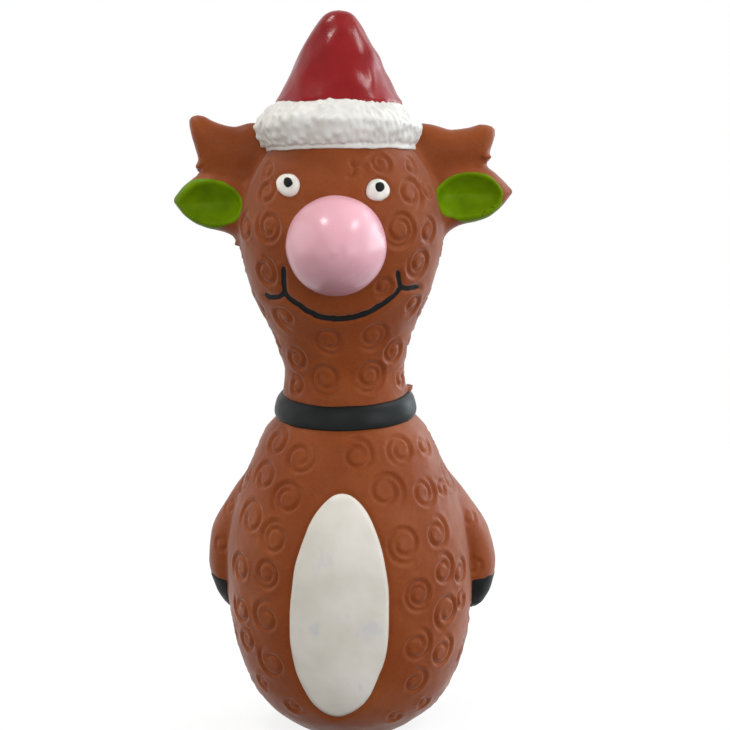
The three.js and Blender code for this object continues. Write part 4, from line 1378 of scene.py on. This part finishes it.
def trim_relief(places, arc):
    """Lumps on the left that turn into upright dimples on the right, as if dabbed on by hand."""
    columns = arc.shape[1]
    girth = 2 * np.pi * trim_half_width
    around = np.broadcast_to(np.arange(columns) / columns * girth, arc.shape)
    count = 2 * round(girth / cell_width / 2)
    width = girth / count
    draw = np.random.default_rng(cell_seed)
    bands = int(arc.max() / cell_height) + 3
    jitter = draw.uniform(-cell_jitter, cell_jitter, (bands, count, 2)) * [width, cell_height]
    heights = draw.uniform(*cell_rises, (bands, count))
    right = np.clip((places[..., 0] + turn_start) / turn_width, 0, 1)
    right = right * right * (3 - 2 * right)
    band, cell = np.floor(arc / cell_height).astype(int), np.floor(around / width).astype(int)
    raised = np.zeros(arc.shape)
    for band_by in (-1, 0, 1):
        for cell_by in (-2, -1, 0, 1, 2):
            b, c = np.clip(band + band_by, 0, bands - 1), (cell + cell_by) % count
            up = arc - (band + band_by + 0.5 + cell_stagger * (c % 2)) * cell_height - jitter[b, c, 1]
            across = around - (cell + cell_by + 0.5) * width - jitter[b, c, 0]
            lump = np.exp(-((up / lump_half_width) ** 2 + (across / lump_half_width) ** 2)) * ((b + c) % 2)
            slanted = across + dimple_slant * up
            dimple = np.exp(-((up / dimple_half_height) ** 2 + (slanted / dimple_half_width) ** 2))
            raised += heights[b, c] * (lump * (1 - right) * lump_rise - dimple * right * dimple_depth)
    return raised


def trim_coat():
    top = [[trim_height * 0.5, trim_top_radius]]
    places, _, arc = fitted_rings("trim", trim, trunk.distance, hat.distance, extra_high=[top])
    fade_out = np.clip((arc.max(0) - arc) / trim_fade_out, 0, 1)
    calm = np.clip((arc - trim_plain) / trim_fade_in, 0, 1) * fade_out
    lip = ridge(arc, "trim lip") + ridge(arc, "trim groove")
    relief = trim_relief(places, arc) * calm + lip + uneven(places, "trim grain") + uneven(places, "trim")
    shape = ring_shell(grown(places, trim_sink + relief), coat_thickness)
    piece("trim_paint", *shape, paint_material("frost coat"), "frost_coat", "trim_coat")


def collar_coat():
    low, high = collar.table[0, 0] + collar_edge, collar.table[-1, 0] - collar_edge
    edges = ([[[low, collar_low_radius]]], [[[high, collar_high_radius]]])
    places, _, _ = fitted_rings("collar", collar, trunk.distance, trunk.distance, *edges)
    places = grown(places, coat_proud)
    places = grown(places, uneven(places, "collar"))
    shape = ring_shell(places, coat_thickness)
    piece("collar_paint", *shape, paint_material("slate coat"), "slate_coat", "collar_coat")


nose_coat()
hat_coat()
trim_coat()
collar_coat()


# The filling and the squeaker
filling_gap, filling_shrink = 0.4, 0.5
squeaker_room_radius, squeaker_room_height = 9.2, 16.0
filling_low, filling_high, filling_step = numbers(-32, -32, 4), numbers(32, 32, 176), 2.0


def filling_field(points):
    reach = np.hypot(points[:, 0], points[:, 1])
    room = np.maximum(reach - squeaker_room_radius, points[:, 2] - squeaker_room_height)
    lumps = filling_shrink + uneven(points, "filling") + uneven(points, "filling tufts")
    return np.maximum(hollow(points) + filling_gap + np.maximum(lumps, 0), -room)


fibre_points, fibre_triangles = surface_net(filling_field, filling_low, filling_high, filling_step)
fibre_points = settled(filling_field, relaxed(fibre_points, fibre_triangles), 2)
fibre = paint_material("white fibre")
piece("fibre_wad", fibre_points, fibre_triangles, fibre, "white_fibre", "fibre_filling")

plastic, film = paint_material("squeaker plastic"), paint_material("reed film")
for node in ("squeaker_housing", "squeaker_cap", "reed_block", "reed_clamp", "reed"):
    carried = frame["nodes"][node]
    carried.data.materials.clear()
    carried.data.materials.append(film if node == "reed" else plastic)


# Stage
floor_half, floor_near, floor_far, floor_glow = 2.5, 0.1, 0.45, 0.83
floor_grey = (120, 120, 120)
sensor_width, world_light = 36, 0.38
toy_middle, nose_place = (0, 0, 0.1), (-0.001, -0.03, 0.125)
# [name, place, what it points at, width in m, power in W, colour]
lamps = [
    ("low window", (0.72, 0.42, 0.18), toy_middle, 0.6, 4.0, (0.8, 0.92, 1.0)),
    ("high window", (0.66, 0.5, 0.45), toy_middle, 0.6, 1.9, (0.86, 0.94, 1.0)),
    ("right wall", (0.72, -0.45, 0.3), toy_middle, 0.8, 3.2, (0.94, 0.97, 1.0)),
    ("left wall", (-0.8, 0.15, 0.35), toy_middle, 0.8, 1.7, (1.0, 0.97, 0.93)),
    ("left lamp", (-0.33, 0.09, 0.96), nose_place, 0.16, 2.9, (1.0, 0.98, 0.95)),
    ("right lamp", (0.6, 0.07, 0.82), nose_place, 0.2, 2.3, (1, 1, 1)),
    ("front", (-0.06, -0.42, 0.3), nose_place, 0.4, 0.62, (1, 1, 1)),
    ("right table", (0.52, -0.36, 0.02), nose_place, 0.5, 1.4, (1.0, 0.9, 0.96)),
    ("left table", (-0.5, -0.38, 0.02), nose_place, 0.5, 1.1, (1.0, 0.9, 0.85)),
]


def seen_directly(tree):
    """1 for rays from the camera and for those off gloss or through glass, otherwise 0."""
    path = tree.nodes.new("ShaderNodeLightPath")
    value = path.outputs["Is Camera Ray"]
    for name in ("Is Glossy Ray", "Is Transmission Ray"):
        value = wired(tree, "Math", "Value", {0: value, 1: path.outputs[name]}, operation="MAXIMUM")
    return value


def stage():
    """A pale floor that fades into the white behind it."""
    mesh = bpy.data.meshes.new("floor")
    half = floor_half
    corners = [(-half, -half, 0), (half, -half, 0), (half, half, 0), (-half, half, 0)]
    mesh.from_pydata(corners, [], [range(4)])
    floor = bpy.data.objects.new("floor", mesh)
    bpy.context.scene.collection.objects.link(floor)
    material, tree, shader = new_material("pale floor", floor_grey, 1.0, Specular_IOR_Level=0.0)
    place = wired(tree, "TexCoord", "Object", {})
    reach = wired(tree, "VectorMath", "Value", {0: place}, operation="LENGTH")
    near = ranged(tree, reach, 1, 0, floor_near, floor_far)
    tree.links.new(mixed(tree, near, black, linear(floor_grey)), shader.inputs["Base Color"])
    shader.inputs["Emission Color"].default_value = white
    glow = ranged(tree, near, 1.0, floor_glow, 0, 1)
    shown = wired(tree, "Math", "Value", {0: seen_directly(tree), 1: glow}, operation="MULTIPLY")
    tree.links.new(shown, shader.inputs["Emission Strength"])
    floor.data.materials.append(material)


def light(name, place, aim_at, size, power, colour):
    data = bpy.data.lights.new(name, "AREA")
    data.shape = "DISK"
    data.size = size
    data.energy = power
    data.color = colour
    lamp = bpy.data.objects.new(name, data)
    lamp.location = place
    lamp.rotation_euler = (Vector(aim_at) - Vector(place)).to_track_quat("-Z", "Y").to_euler()
    bpy.context.scene.collection.objects.link(lamp)


def camera():
    data = bpy.data.cameras.new("camera")
    data.sensor_fit = "HORIZONTAL"
    data.sensor_width = sensor_width
    data.lens = sensor_width * focal_px / picture
    made = bpy.data.objects.new("camera", data)
    rotation = Matrix((picture_right, picture_up, -look)).transposed()
    made.matrix_world = Matrix.Translation((eye_point + own_origin) * MM) @ rotation.to_4x4()
    bpy.context.scene.collection.objects.link(made)
    bpy.context.scene.camera = made


def world():
    made = bpy.data.worlds.new("world")
    made.use_nodes = True
    tree = made.node_tree
    back = tree.nodes["Background"]
    back.inputs["Color"].default_value = white
    tree.links.new(ranged(tree, seen_directly(tree), world_light, 1.0, 0, 1), back.inputs["Strength"])
    bpy.context.scene.world = made


stage()
camera()
world()
for lamp in lamps:
    light(*lamp)
bpy.context.scene.view_settings.view_transform = "Standard"
